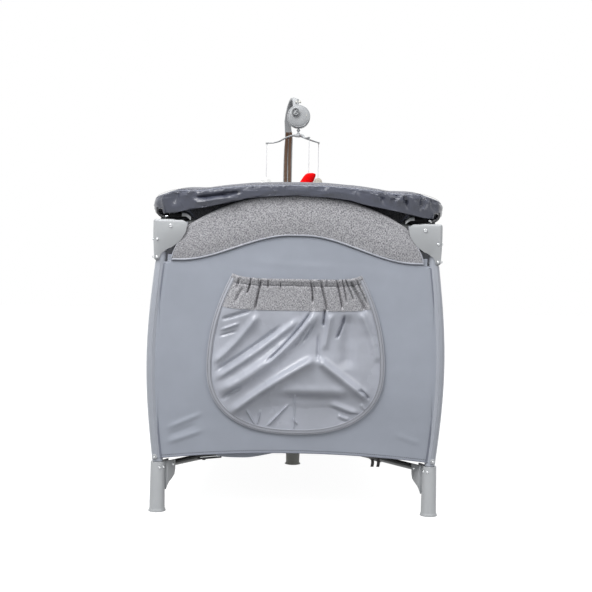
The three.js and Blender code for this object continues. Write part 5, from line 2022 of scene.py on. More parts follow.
    def binding(self) -> bpy.types.Object:
        """The bound edge round the pocket."""
        steps = np.linspace(-0.0014, 0.0104, 8)
        crown = np.array([0.0, 0.0008, 0.0005, 0.0009, 0.0010, 0.0006, 0.0009, 0.0001])
        rows_front, rows_back, flat = [], [], []
        for step, lift in zip(steps, crown):
            s, z = self.edge_line(step)
            points = self.flat_on(s, z, 0.0026 + lift)
            wobble = 0.0005 * ripple(points, 34.0, 8.0)
            points[:, 1] -= wobble
            rows_front.append(points)
            rows_back.append(self.flat_on(s, z, -0.0010))
            run = run_along(s, z)
            flat.append(np.stack([run, step + 0 * run], axis=-1))
        grids = (np.array(rows) for rows in (rows_front, rows_back, flat))
        return slab("pocket_binding", *grids, Finishes.BINDING)

    def thread(self) -> bpy.types.Object:
        """Two rows of stitches round the binding, and one under the elastic."""
        rows = []
        for inset in (0.0018, 0.0084):
            s, z = self.edge_line(inset)
            rows.append(self.flat_on(s, z, 0.0040))
        share = np.linspace(-0.98, 0.98, 200)
        z = self.top_at(share) - self.elastic
        s = share * self.outline(z)
        rows.append(self.face(share, s, z, self.thick + 0.0016))
        return stitches("pocket_stitches", rows, Finishes.THREAD, spacing=0.004)


# ------------------------------------------------------ floor, mattress and hub


@dataclass
class FloorPanels:
    """The four quarters of the cloth floor, carried by the lower arms."""

    z: float = 0.1535
    thick: float = 0.0018
    edge: tuple[float, float] = (0.0105, 0.0092)
    corner: float = 0.075
    keep: float = 0.22
    hem_low: float = 0.1275
    hem_rise: float = 0.0180

    def build(self) -> None:
        """Builds each quarter and puts it on its arm."""
        for name, (sx, sy) in CORNERS.items():
            piece = self.quarter(name, sx, sy)
            carry(piece, f"arm_{name}", [f"floor_{name}"])
            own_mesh(piece)
            log.info("floor quarter %s", name)

    def quarter(self, name: str, sx: int, sy: int) -> bpy.types.Object:
        """One quarter, with its outer corner rounded off and a faint sag."""
        reach_x, reach_y = FRAME.leg_x + self.edge[0] - 0.002, FRAME.leg_y + self.edge[1] - 0.002
        x, y = np.meshgrid(np.linspace(0.0012, reach_x, 60), np.linspace(0.0012, reach_y, 96))
        over_x = np.maximum(x - (reach_x - self.corner), 0) / self.corner
        over_y = np.maximum(y - (reach_y - self.corner), 0) / self.corner
        both = np.maximum(np.minimum(over_x, over_y), 0)
        pull = np.hypot(over_x, over_y)
        limit = np.maximum(np.maximum(over_x, over_y), 1e-9)
        shrink = np.where(both > 0, limit / np.maximum(pull, 1e-9), 1.0)
        x = np.where(both > 0, reach_x - self.corner + over_x * self.corner * shrink, x)
        y = np.where(both > 0, reach_y - self.corner + over_y * self.corner * shrink, y)
        points = np.stack([sx * x, sy * y, self.z + 0 * x], axis=-1)
        points[..., 2] += 0.0005 * ripple(points, 14.0, 2.0)
        hem_x = self.hem_low + self.hem_rise * (1 - (y / FRAME.leg_y) ** 2) - self.z
        hem_y = self.hem_low + self.hem_rise * (1 - (x / FRAME.leg_x) ** 2) - self.z
        fall_x, fall_y = eased(x, reach_x - 0.016, reach_x), eased(y, reach_y - 0.016, reach_y)
        points[..., 2] += np.minimum(np.minimum(hem_x * fall_x, hem_y * fall_y), 0)
        top, under = points.copy(), points.copy()
        top[..., 2] += self.thick / 2
        under[..., 2] -= self.thick / 2
        self.area = grid_area(points)
        return slab(f"floor_cloth_{name}", top, under, np.stack([x, y], axis=-1), Finishes.FLOOR)


@dataclass
class UnderStraps:
    """Straps, a bracket and a sag of cloth that show under the front edge of the floor."""

    y: float = -0.5795

    def build(self) -> None:
        """Builds the strap ends, the bracket and the sag."""
        right = [self.end(x, 0.1300, 0.1105) for x in (0.1895, 0.2035)]
        carry(joined("floor_straps_front_right", right), "arm_front_right")
        rod = np.array([(-0.225, self.y, 0.1262), (-0.172, self.y, 0.1318)])
        left = [
            self.end(-0.216, 0.1270, 0.1195), self.end(-0.229, 0.1258, 0.1222),
            tube("rod", rod, 0.0016, Finishes.STEEL, sides=10),
            tube("bracket", rod - np.array([0.002, 0.0, 0.0042]), 0.0020, Finishes.BLACK, sides=10),
        ]
        carry(joined("floor_straps_front_left", left), "arm_front_left")
        path = curve_through([
            (-0.186, self.y - 0.012, 0.1390), (-0.164, self.y - 0.0125, 0.1366),
            (-0.135, self.y - 0.013, 0.1360), (-0.104, self.y - 0.013, 0.1372),
            (-0.067, self.y - 0.0125, 0.1440), (-0.040, self.y - 0.012, 0.1500),
        ], 30)
        sag = strap("floor_sag", path, Vector((0.0, -0.25, 1.0)).normalized(), 0.013, 0.0018, Finishes.PANEL)
        carry(sag, "arm_front_left")

    def end(self, x: float, high: float, low: float) -> bpy.types.Object:
        """One short hanging end of webbing."""
        path = [(x, self.y, high), (x + 0.001, self.y - 0.0005, (high + low) / 2), (x - 0.0005, self.y, low)]
        return strap("end", curve_through(path, 9), X_AXIS, 0.0075, 0.0014, Finishes.BLACK_CLOTH)


@dataclass
class Mattress:
    """The folding padded mattress: four boards under quilted cloth."""

    half_x: float = 0.290
    half_y: float = 0.576
    low: float = 0.1572
    high: float = 0.1778
    corner: float = 0.070
    seams: tuple[float, ...] = (-0.292, 0.0, 0.292)
    seam_depth: float = 0.0075
    seam_width: float = 0.009
    voxel: float = 0.0075

    def build(self) -> None:
        """Builds the pad and its seams."""
        pad = self.pad()
        puffed(pad, self.voxel, 3.0, 0.0022)
        reshaped(pad, self.sewn)
        cloth_from(pad, lambda p: p[:, :2])
        carry(pad, "mattress", ["mattress"])
        rows = [
            np.array([(x, y, self.high - self.seam_depth + 0.0014) for x in np.linspace(-0.27, 0.27, 80)])
            for y in self.seams
        ]
        carry(stitches("mattress_stitches", rows, Finishes.THREAD), "mattress")
        ring = self.ring(0.0)
        edge = np.column_stack([ring, np.full(len(ring), (self.low + self.high) / 2)])
        piping = tube("mattress_piping", edge, 0.0024, Finishes.PANEL_HEM, sides=8, closed=True)
        carry(piping, "mattress")

    def ring(self, inset: float) -> np.ndarray:
        """The mattress's outline, moved inwards."""
        line = []
        for sign_x, sign_y, start in ((1, -1, -90), (1, 1, 0), (-1, 1, 90), (-1, -1, 180)):
            for step in range(13):
                turn = math.radians(start + 7.5 * step)
                radius = self.corner - inset
                line.append(
                    (sign_x * (self.half_x - self.corner) + radius * math.cos(turn),
                     sign_y * (self.half_y - self.corner) + radius * math.sin(turn))
                )
        return np.array(line)

    def pad(self) -> bpy.types.Object:
        """The pad's rounded slab before it is filled."""
        layers = ((0.006, self.low), (0.0, self.low + 0.006), (0.0, self.high - 0.006), (0.006, self.high))
        points = []
        for inset, z in layers:
            points += [(x, y, z) for x, y in self.ring(inset)]
        rings, steps = len(layers), len(self.ring(0.0))
        faces = ring_faces(rings, steps) + lids(rings, steps)
        return piece_from("mattress_pad", np.array(points), faces, Finishes.MATTRESS)

    def sewn(self, points: np.ndarray) -> np.ndarray:
        """Presses the seams and soft quilting into the pad's top."""
        top = eased(points[:, 2], self.low + 0.006, self.high - 0.002)
        dent = np.zeros(len(points))
        for seam in self.seams:
            dent += self.seam_depth * np.exp(-(((points[:, 1] - seam) / self.seam_width) ** 2))
        soft = 0.0008 * ripple(points, 16.0, 3.0)
        points = points.copy()
        points[:, 2] += top * (soft - dent)
        points[:, 2] = np.clip(points[:, 2], self.low - 0.001, self.high + 0.0022)
        return points


@dataclass
class PullStrap:
    """The red loop in the middle that draws the frame up."""

    width: float = 0.022
    thick: float = 0.0018
    top: float = 0.1508

    def build(self) -> None:
        """Builds the loop."""
        rising = [(-0.006, 0, 0.0962), (-0.0074, 0, 0.118), (-0.0056, 0, 0.142)]
        falling = [(-x, y, z) for x, y, z in reversed(rising)]
        path = curve_through([*rising, (0, 0, self.top), *falling], 26)
        loop = strap("pull_loop", path, Y_AXIS, self.width, self.thick, Finishes.STRAP_RED)
        carry(loop, "hub", ["pull_strap"])


@dataclass
class Wheels:
    """The two wheels at the back feet."""

    radius: float = 0.026
    near: float = 0.027
    width: float = 0.016
    ribs: int = 28

    def build(self) -> None:
        """Builds each tyre with its tread ribs and hub cap."""
        z = self.radius + 0.002
        for label, sx in (("left", -1), ("right", 1)):
            outer = sx * (FRAME.leg_x - self.near)
            inner = outer - sx * self.width
            at = (inner, FRAME.leg_y, z)
            axis = Vector((sx, 0, 0))
            r, w = self.radius, self.width
            profile = [
                (0.0058, 0.0004), (0.012, 0.0004), (0.0125, 0.0016), (0.0185, 0.0016), (0.019, 0.0),
                (r - 0.003, 0.0), (r - 0.0008, 0.0014), (r, 0.0038), (r, w - 0.0038),
                (r - 0.0008, w - 0.0014), (r - 0.003, w), (0.019, w), (0.0185, w - 0.0016),
                (0.0125, w - 0.0016), (0.012, w - 0.0004), (0.0058, w - 0.0004),
            ]
            tyre = self.ring(f"wheel_tyre_{label}", profile, at, axis)
            places = []
            for step in range(self.ribs):
                turn = 2 * math.pi * step / self.ribs
                facing = (0.0, math.cos(turn), math.sin(turn))
                out = r - 0.0002
                middle = (inner + sx * w / 2, FRAME.leg_y + facing[1] * out, z + facing[2] * out)
                places.append((middle, facing))
            ribs = heads("ribs", Head.RIB, places, Finishes.RUBBER)
            wheel = joined(f"wheel_tyre_{label}", [tyre, ribs])
            carry(wheel, f"wheel_{label}", [f"wheel_back_{label}"])

    @staticmethod
    def ring(name: str, profile: Sequence[tuple[float, float]], at: Point, axis: Vector) -> bpy.types.Object:
        """A turned ring with an open bore."""
        steps = 48
        faces = ring_faces(len(profile), steps, closed=True)
        return piece_from(name, spun(profile, at, axis, steps), faces, Finishes.RUBBER, crease=35.0)


# ------------------------------------------------------------------ the changer


@dataclass
class Changer:
    """The lift-on changing top: a padded rim of coated cloth round a sunk tray."""

    half_x: float = 0.358
    half_y: float = 0.301
    middle_y: float = -0.321
    crown: float = 0.792
    drop: float = 0.032
    drop_x: float = 0.310
    tray: float = 0.6815
    under: float = 0.6730
    power: float = 2 / 7
    end_lift: float = 0.011
    limits: tuple[float, float] = (-0.010, 0.0065)
    pad_around: int = 120
    pad_inset: float = 0.126
    quilt_pitch: float = 0.085
    skirt: tuple[Fold, ...] = (
        Fold((-0.0660, 0.012), (-0.0510, 0.038), 0.0026, 0.0030, 0.0, 0.2),
        Fold((-0.0030, 0.012), (-0.0180, 0.038), 0.0024, 0.0026, 0.0, 0.2),
        Fold((-0.1330, 0.024), (-0.2450, 0.028), 0.0032, -0.0050, 0.0, 0.1),
        Fold((-0.1380, 0.038), (-0.2600, 0.037), 0.0060, 0.0046, 0.0, 0.15),
        Fold((-0.1680, 0.006), (-0.1830, 0.024), 0.0030, 0.0030),
        Fold((-0.2150, 0.006), (-0.2330, 0.022), 0.0030, 0.0028),
        Fold((-0.2450, 0.002), (-0.2720, 0.032), 0.0045, 0.0042),
        Fold((-0.2860, 0.004), (-0.2980, 0.044), 0.0090, -0.0070),
        Fold((-0.3140, 0.004), (-0.3240, 0.040), 0.0050, 0.0040),
        Fold((0.2010, 0.000), (0.2210, 0.038), 0.0036, 0.0036, 0.0, 0.2),
        Fold((0.2580, 0.001), (0.2260, 0.036), 0.0048, 0.0046, 0.0, 0.2),
        Fold((0.2670, 0.012), (0.2610, 0.036), 0.0030, 0.0040, 0.0, 0.2),
        Fold((0.2600, 0.028), (0.2860, 0.046), 0.0034, 0.0042, 0.0, 0.2),
        Fold((0.2740, 0.002), (0.2880, 0.024), 0.0030, 0.0036, 0.0, 0.2),
        Fold((0.1710, 0.015), (0.1840, 0.036), 0.0030, 0.0036, 0.0, 0.2),
        Fold((0.1280, 0.010), (0.1390, 0.035), 0.0028, 0.0030, 0.0, 0.2),
        Fold((0.1550, 0.008), (0.1500, 0.020), 0.0026, 0.0026),
        Fold((0.2420, 0.010), (0.2160, 0.034), 0.0040, -0.0040, 0.0, 0.2),
        Fold((0.3000, 0.004), (0.2950, 0.042), 0.0060, -0.0080, 0.0, 0.2),
        Fold((0.3060, 0.030), (0.2920, 0.046), 0.0034, 0.0050),
        Fold((0.3200, 0.006), (0.3270, 0.040), 0.0080, -0.0050),
        Fold((0.1800, 0.012), (0.1960, 0.038), 0.0034, 0.0036),
        Fold((0.1905, 0.014), (0.2065, 0.040), 0.0036, -0.0046),
        Fold((0.2360, 0.012), (0.2540, 0.042), 0.0034, 0.0042),
        Fold((0.2465, 0.012), (0.2645, 0.044), 0.0036, -0.0052),
        Fold((0.2640, 0.018), (0.2860, 0.040), 0.0056, 0.0044),
        Fold((0.0700, 0.012), (0.0740, 0.032), 0.0026, 0.0022),
    )
    body: str = "changer"

    def build(self) -> None:
        """Builds the rim and tray, its seams, pad and straps."""
        cover = self.cover()
        carry(cover, self.body, ["changer_cover"])
        carry(self.seam_cord(), self.body)
        carry(self.thread(), self.body)
        pad = self.pad()
        puffed(pad, 0.0048, 3.5, 0.003)
        reshaped(pad, self.quilted)
        carry(pad, self.body)
        carry(self.straps(), self.body)

    def rim_top(self, x: np.ndarray) -> np.ndarray:
        """Height of the rim's top at a distance from the middle."""
        fall = self.drop * (np.abs(x) / self.drop_x) ** CREST_POWER
        return self.crown - fall + self.end_lift * eased(np.abs(x), 0.22, 0.30)

    def ring_at(
        self, inset: np.ndarray | float, turn: np.ndarray
    ) -> tuple[np.ndarray, np.ndarray, np.ndarray, np.ndarray]:
        """A place on the rim's outline.

        Args:
            inset: How far the outline is drawn inwards.
            turn: Turn round the rim.

        Returns:
            x, y from the changer's middle, and the outward direction's x and y.
        """
        cosine, sine = np.cos(turn), np.sin(turn)
        along = np.sign(cosine) * np.abs(cosine) ** self.power
        aside = np.sign(sine) * np.abs(sine) ** self.power
        grade = 2 / self.power
        nx = np.sign(along) * np.abs(along) ** (grade - 1) / self.half_x
        ny = np.sign(aside) * np.abs(aside) ** (grade - 1) / self.half_y
        size = np.maximum(np.hypot(nx, ny), 1e-9)
        return (self.half_x - inset) * along, (self.half_y - inset) * aside, nx / size, ny / size

    def turns(self, around: int = 420, inset: float = 0.0, fine: int = 20001) -> np.ndarray:
        """Turns round the rim at even spacing.

        Args:
            around: How many turns.
            inset: How far the outline is drawn inwards.
            fine: Points of the fine line that the spacing is read from.

        Returns:
            The turns.
        """
        dense = np.linspace(0, 2 * np.pi, fine)
        x, y, _, _ = self.ring_at(inset, dense)
        run = run_along(x, y)
        return np.interp(np.linspace(0, run[-1], around, endpoint=False), run, dense)

    def section(self, x: np.ndarray, end_share: np.ndarray) -> list[tuple[np.ndarray, np.ndarray]]:
        """The rim's section as (inset, height) for each ring, from the tray's middle over and under."""
        top = self.rim_top(x)
        hem_at = np.interp(
            np.abs(x), [0.0, 0.07, 0.125, 0.17, 0.22, 0.27, 0.30, 0.33, 0.35],
            [0.034, 0.036, 0.040, 0.0465, 0.0495, 0.050, 0.050, 0.044, 0.040],
        )
        hem = np.where(end_share > 0.5, hem_at, 0.0295) + self.end_lift * eased(np.abs(x), 0.22, 0.30)
        inner = np.maximum(top - 0.034, 0.700)
        rows: list[tuple[object, object]] = [
            (0.150, self.tray), (0.124, self.tray), (0.112, self.tray + 0.001), (0.104, self.tray + 0.009),
            (0.096, (self.tray + top) / 2 + 0.003), (0.086, top - 0.018), (0.074, top - 0.004),
            (0.060, top - 0.0006), (0.045, top), (0.031, top - 0.0009), (0.019, top - 0.0034),
            (0.0105, top - 0.0078), (0.0062, top - 0.0106), (0.0044, top - 0.0124), (0.0022, top - 0.0145),
            (0.0006, top - 0.0185), (0.0, top - 0.0225), (0.0004, top - 0.0265),
            (0.0016, top - (0.0265 + hem) / 2), (0.0030, top - hem + 0.002), (0.0042, top - hem),
            (0.0066, top - hem + 0.001), (0.0080, top - (0.028 + hem) / 2), (0.0100, top - 0.0276),
            (0.030, top - 0.0272), (0.052, top - 0.0280), (0.078, top - 0.0310), (0.098, inner - 0.004),
            (0.106, (inner + self.under) / 2 - 0.004), (0.116, self.under + 0.0006), (0.150, self.under),
        ]
        return [tuple(np.broadcast_to(np.asarray(value, float), x.shape) for value in row) for row in rows]

    def cover(self) -> bpy.types.Object:
        """The whole cover as one closed form with puckers and folds."""
        x0, y0, nx, ny = self.ring_at(0.0, self.turns())
        run = run_along(x0, y0)
        rows = self.refined(self.section(x0, eased(np.abs(ny), 0.55, 0.85)))
        points = []
        count = len(rows)
        for index, (inset, z) in enumerate(rows):
            place = index / (count - 1)
            x, y = x0 * (1 - inset / self.half_x), y0 * (1 - inset / self.half_y)
            lift, fold = self.puckers(place, run, inset, x0, ny, z)
            low = self.underside(place)
            top_face = 1 - eased(inset, 0.02, 0.05)
            rise = lift * (1 - top_face) * (place < 0.45) - low * 0.0015 * (1 + fold)
            spot = [x + nx * lift * top_face, self.middle_y + y + ny * lift * top_face, z + rise]
            points.append(np.stack(spot, axis=-1))
        grid = np.array(points)
        columns = grid.shape[1]
        faces = ring_faces(count, columns)
        flat = grid.reshape(-1, 3)
        top_middle, low_middle = len(flat), len(flat) + 1
        flat = np.vstack([flat, [[0, self.middle_y, self.tray]], [[0, self.middle_y, self.under]]])
        last = (count - 1) * columns
        for step in range(columns):
            after = (step + 1) % columns
            faces.append((top_middle, after, step))
            faces.append((low_middle, last + step, last + after))
        return piece_from("changer_cover_cloth", flat, faces, Finishes.CHANGER)

    @staticmethod
    def underside(place: float) -> float:
        """How far a ring belongs to the rim's underside, from its share of the section."""
        return eased(place, 0.48, 0.66) * (1 - eased(place, 0.68, 0.74))

    def puckers(
        self, place: float, run: np.ndarray, inset: np.ndarray, x: np.ndarray, ny: np.ndarray, z: np.ndarray
    ) -> tuple[np.ndarray, np.ndarray]:
        """How the cloth of one ring stands off the plain section.

        Args:
            place: The ring's share of the section.
            run: Distance round the rim.
            inset: The ring's inset.
            x: Distance of each point from the changer's middle.
            ny: The outward direction's y.
            z: The ring's height.

        Returns:
            How far it stands off, and the broad folds alone.
        """
        seed = np.stack([run, 0 * run + place * 1.5, 0 * run], axis=-1)
        lean = seed.copy()
        lean[:, 0] += place * 0.28
        fold = ripple(lean * np.array([1.0, 0.35, 1.0]), 21.0, 5.0)
        small = ripple(lean * np.array([1.0, 0.5, 1.0]), 62.0, 2.0)
        outer = eased(0.075 - inset, 0.0, 0.03) * (1 - eased(place, 0.66, 0.74))
        tight = np.exp(-(((place - 0.405) / 0.03) ** 2))
        wave = np.sin(run * 430.0 + 2.4 * ripple(seed, 9.0, 4.0))
        lift = outer * (0.0024 * fold + 0.0010 * small) - 0.0026 * tight * (0.5 + 0.5 * wave)
        depth = self.rim_top(x) - z
        front = (ny < -0.5) * (place > 0.25) * (place < 0.66)
        pleat = np.maximum(wave, 0) ** 2 * np.exp(-(((depth - 0.0125) / 0.0045) ** 2))
        lift = lift + front * (1.5 * lifted(self.skirt, x, depth) + 0.0030 * pleat)
        lift = lift + self.underside(place) * 0.0022 * ripple(lean, 40.0, 7.0)
        return np.clip(lift, *self.limits), fold

    @staticmethod
    def refined(rows: list[tuple[np.ndarray, np.ndarray]]) -> list[tuple[np.ndarray, np.ndarray]]:
        """The section's rings with a smooth ring between each two."""
        result = []
        for index in range(len(rows) - 1):
            a = rows[max(index - 1, 0)]
            b, c = rows[index], rows[index + 1]
            d = rows[min(index + 2, len(rows) - 1)]
            result.append(b)
            result.append(tuple((9 * (b[k] + c[k]) - a[k] - d[k]) / 16 for k in (0, 1)))
        result.append(rows[-1])
        return result

    def seam_cord(self) -> bpy.types.Object:
        """The puckered seam round the rim, just under its top: a real seam, its lighter cloth a painted
        highlight of the puckers.
        """
        turns = self.turns()
        x, y, _, _ = self.ring_at(0.0042, turns)
        z = self.rim_top(x) - 0.0124
        path = np.stack([x, self.middle_y + y, z], axis=-1)
        return tube("changer_seam", path, 0.0011, Finishes.CHANGER_SEAM, sides=8, closed=True)

    def thread(self) -> bpy.types.Object:
        """Stitches above the seam, in a light thread that also paints the dashes of highlight on its puckers.
        """
        dense = np.linspace(0, 2 * np.pi, 1400)
        x, y, _, _ = self.ring_at(0.0078, dense)
        z = self.rim_top(x) - 0.0088 + 0.0012
        rows = [np.stack([x, self.middle_y + y, z], axis=-1)]
        return stitches("changer_stitches", rows, Finishes.THREAD_LIGHT, spacing=0.0052)

    def pad(self) -> bpy.types.Object:
        """The soft pad that lies in the tray."""
        low, middle, high = self.tray + 0.0006, self.tray + 0.006, self.tray + 0.0125
        layers = ((0.138, low), (self.pad_inset, middle), (0.131, high))
        even = self.turns(self.pad_around, self.pad_inset, 4001)
        points = []
        for inset, z in layers:
            x, y, _, _ = self.ring_at(inset, even)
            points += list(np.stack([x, self.middle_y + y, np.full(self.pad_around, z)], axis=-1))
        faces = ring_faces(len(layers), self.pad_around) + lids(len(layers), self.pad_around)
        return piece_from("changer_pad", np.array(points), faces, Finishes.CHANGER)

    def quilted(self, points: np.ndarray) -> np.ndarray:
        """Presses crossing quilt lines into the pad's top."""
        pitch = self.quilt_pitch
        u = (points[:, 0] + (points[:, 1] - self.middle_y)) / pitch
        v = (points[:, 0] - (points[:, 1] - self.middle_y)) / pitch
        near = np.minimum(np.abs(u - np.round(u)), np.abs(v - np.round(v))) * pitch
        dent = 0.0032 * np.exp(-((near / 0.006) ** 2))
        top = eased(points[:, 2], self.tray + 0.005, self.tray + 0.011)
        points = points.copy()
        points[:, 2] += top * (0.0016 - dent)
        return points

    def straps(self) -> bpy.types.Object:
        """The straps, hooks and tabs under the rim's corners, and a near-black bar of painted shade in the
        recess there.
        """
        parts = []
        for sx in (-1, 1):
            for near in (-1, 1):
                y = self.middle_y + near * (self.half_y - 0.026)
                inner = y - near * 0.026
                path = [(sx * 0.266, y, 0.726), (sx * 0.256, y, 0.712), (sx * 0.236, inner, 0.692)]
                lean = Vector((sx * 0.85, 0.0, 0.5)).normalized()
                parts.append(strap("loop", curve_through(path, 12), lean, 0.011, 0.0016, Finishes.STRAP))
                line = ((0.336, 0.724), (0.3345, 0.711), (0.327, 0.7035), (0.318, 0.7015))
                hook = [(sx * x, y, z) for x, z in line]
                parts.append(tube("hook", curve_through(hook, 16), 0.0024, Finishes.BLACK, sides=12))
                # A near-black bar at the frame tube's end paints the shade of the recess under the rim.
                bar = np.array([(sx * 0.309, inner, 0.7065), (sx * 0.266, inner, 0.7065)])
                parts.append(tube("bar", bar, 0.0062, Finishes.SHADE, sides=14))
                tab = np.array([(sx * 0.277, y, 0.7075), (sx * 0.266, y, 0.7065), (sx * 0.256, y, 0.6985)])
                lean = Vector((0.1, 0.3, 1.0)).normalized()
                parts.append(strap("tab", curve_through(tab, 8), lean, 0.008, 0.0016, Finishes.HOUSING))
                for x, z in ((0.3165, 0.7030), (0.2935, 0.7145)):
                    pin = np.array([(sx * x, y, z), (sx * (x - 0.006), y, z + 0.001)])
                    parts.append(tube("pin", pin, 0.0018, Finishes.STEEL, sides=10))
                # The flap takes the darker heather, as painted shade under the rim.
                path = [(sx * 0.258, inner, 0.700), (sx * 0.205, inner, 0.716), (sx * 0.150, inner, 0.738)]
                flap = strap("flap", curve_through(path, 14), Z_AXIS, 0.040, 0.0016, Finishes.HEATHER_DARK)
                parts.append(flap)
        return joined("changer_straps", parts)


# ------------------------------------------------------------------- the mobile


@dataclass
class Mobile:
    """The arm with its music box, knob, carousel and hanging toys."""

    box_y: float = 0.430
    box_z: float = 1.126
    radius: float = 0.040
    depth: float = 0.036
    hub_z: float = 1.062
    knob_x: float = -0.0115
    knob_up: float = 0.0125
    spread: float = 0.112
    turns: tuple[float, ...] = (169.0, 49.0, -71.0)
    drops: tuple[float, ...] = (1.0, 0.45, 0.9)
    droop: tuple[tuple[float, float], ...] = (
        (0.008, 0.0), (0.024, -0.0012), (0.046, -0.0088), (0.068, -0.0186),
        (0.090, -0.0238), (0.108, -0.0246), (0.116, -0.0250),
    )
    nodes: dict[str, bpy.types.Object] = field(default_factory=dict)

    def build(self) -> None:
        """Builds every piece of the mobile."""
        arm = softened(self.nodes["mobile_arm"], "mobile_arm_moulding", 0.0016, Finishes.MOBILE)
        arm = reshaped(arm, self.broadened)
        carry(arm, "mobile", ["mobile_arm"])
        carry(self.strips(), "mobile")
        carry(self.music_box(), "mobile", ["music_box"])
        carry(self.knob(), "winding_knob", ["winding_knob"])
        carry(self.carousel(), "carousel", ["carousel"])
        for name, index, build in (("white", 0, self.white), ("beige", 1, self.beige), ("red", 2, self.red)):
            build(name, self.hook(index))

    def hook(self, index: int) -> Vector:
        """Where a toy's cord meets its hook."""
        turn = math.radians(self.turns[index])
        low = self.hub_z - 0.0015 - 0.025 * self.drops[index]
        return Vector((self.spread * math.cos(turn), self.box_y + self.spread * math.sin(turn), low))

    def broadened(self, points: np.ndarray) -> np.ndarray:
        """Widens the arm towards its foot and draws its curl to one side."""
        points = points.copy()
        x, z = points[:, 0], points[:, 2]
        middle = np.interp(z, [0.77, 1.04], [-0.037, -0.0345])
        low = eased(z, 0.765, 0.80) * (1 - eased(z, 1.06, 1.10))
        scale = np.interp(z, [0.77, 1.04], [0.27, 0.19]) * low
        points[:, 0] = x + (x - middle) * scale + self.arm_shift(z) * eased(z, 0.765, 0.80)
        points[:, 0] -= 0.011 * eased(z, 1.07, 1.14)
        return points

    @staticmethod
    def arm_shift(z: np.ndarray) -> np.ndarray:
        """How far the arm's foot stands to the right of the model's."""
        return np.interp(z, [0.78, 1.04], [0.0040, 0.0])

    def strips(self) -> bpy.types.Object:
        """Two brown strips that run up the front of the arm."""
        path = [
            (-0.037, 0.5876, 0.775), (-0.037, 0.5876, 0.885), (-0.0365, 0.5862, 0.99),
            (-0.0345, 0.5782, 1.055), (-0.0325, 0.5685, 1.094),
        ]
        line = curve_through(path, 40)
        parts = []
        for sign in (-1, 1):
            moved = line.copy()
            share = np.clip((line[:, 2] - 0.775) / 0.28, 0, 1)
            moved[:, 0] += sign * (0.0083 - 0.0018 * share) + self.arm_shift(line[:, 2]) - 0.001
            parts.append(strap("strip", moved, X_AXIS, 0.0106, 0.0022, Finishes.MOBILE_BROWN))
        return joined("mobile_strips", parts)

    def music_box(self) -> bpy.types.Object:
        """The round case: a domed face with a bead, and its neck."""
        front = self.box_y - self.depth / 2
        r, d = self.radius, self.depth
        profile = [
            (0.0046, 0.0008), (0.010, 0.0), (0.022, 0.0002), (0.0325, 0.0012), (0.0345, 0.0022),
            (0.0352, 0.0030), (0.0368, 0.0026), (0.0388, 0.0042), (r, 0.0075), (r, d / 2 - 0.0008),
            (r - 0.0008, d / 2 - 0.0004), (r - 0.0008, d / 2 + 0.0004), (r, d / 2 + 0.0008),
            (r, d - 0.0075), (0.0388, d - 0.0035), (0.034, d - 0.0008), (0.020, d), (0.004, d),
        ]
        case = turned("case", profile, (0, front, self.box_z), Y_AXIS, Finishes.MOBILE, steps=72)
        foot = self.hub_z + 0.0072
        neck_profile = [
            (0.0034, 0.0), (0.0030, 0.0045), (0.0046, 0.0066), (0.0066, 0.0092), (0.0066, 0.0106),
            (0.0044, 0.0134), (0.0026, 0.0156), (0.0030, self.box_z - self.radius - foot + 0.002),
        ]
        neck = turned("neck", neck_profile, (0, self.box_y, foot), Z_AXIS, Finishes.MOBILE, steps=32)
        crown = self.box_z + self.radius
        line = np.array([(-0.004, self.box_y, crown - 0.003), (-0.004, self.box_y, crown + 0.021)])
        stem = tube("stem", line, 0.0042, Finishes.MOBILE, sides=18)
        line = np.array([(-0.012, self.box_y, crown + 0.012), (0.008, self.box_y, crown + 0.012)])
        pin = tube("pin", line, 0.0042, Finishes.HUB, sides=18)
        line = [(0.0270, front + 0.0005, self.box_z + 0.007), (0.0262, front + 0.0003, self.box_z - 0.001)]
        mark = tube("mark", np.array(line), 0.0012, Finishes.HUB, sides=8)
        return joined("music_box_case", [case, neck, stem, pin, mark])

    def knob(self) -> bpy.types.Object:
        """The winding knob: a ribbed ring with a sunk face and a bar across, its grooves drawn as dark rings
        of painted shade.
        """
        front = self.box_y - self.depth / 2 - 0.012
        x, z = self.knob_x, self.box_z + self.knob_up
        at = (x, front, z)
        profile = [
            (0.0003, 0.0030), (0.0075, 0.0030), (0.0085, 0.0022), (0.0090, 0.0002), (0.0100, 0.0),
            (0.0113, 0.0006), (0.0119, 0.0020), (0.0119, 0.0092), (0.0112, 0.0108), (0.0042, 0.0112),
            (0.0040, 0.0185), (0.0004, 0.0188),
        ]
        disc = turned("disc", profile, at, Y_AXIS, Finishes.MOBILE, steps=48)
        line = np.array([(x - 0.003, front + 0.0016, z - 0.0068), (x + 0.004, front + 0.0016, z + 0.0064)])
        bar = tube("bar", line, 0.0022, Finishes.MOBILE, sides=16, flat=0.8)
        rings = []
        # Two dark rings paint the shade in the grooves round the rim and the sunk face.
        for radius, half, ahead in ((0.0116, 0.0014, 0.0002), (0.0068, 0.0007, 0.0026)):
            turns = np.linspace(0, 2 * math.pi, 40, endpoint=False)
            loop = [(x + radius * math.cos(t), front + ahead, z + radius * math.sin(t)) for t in turns]
            rings.append(tube("groove", np.array(loop), half, Finishes.KNOB_DARK, sides=10, closed=True))
        return joined("knob_ring", [disc, bar, *rings])

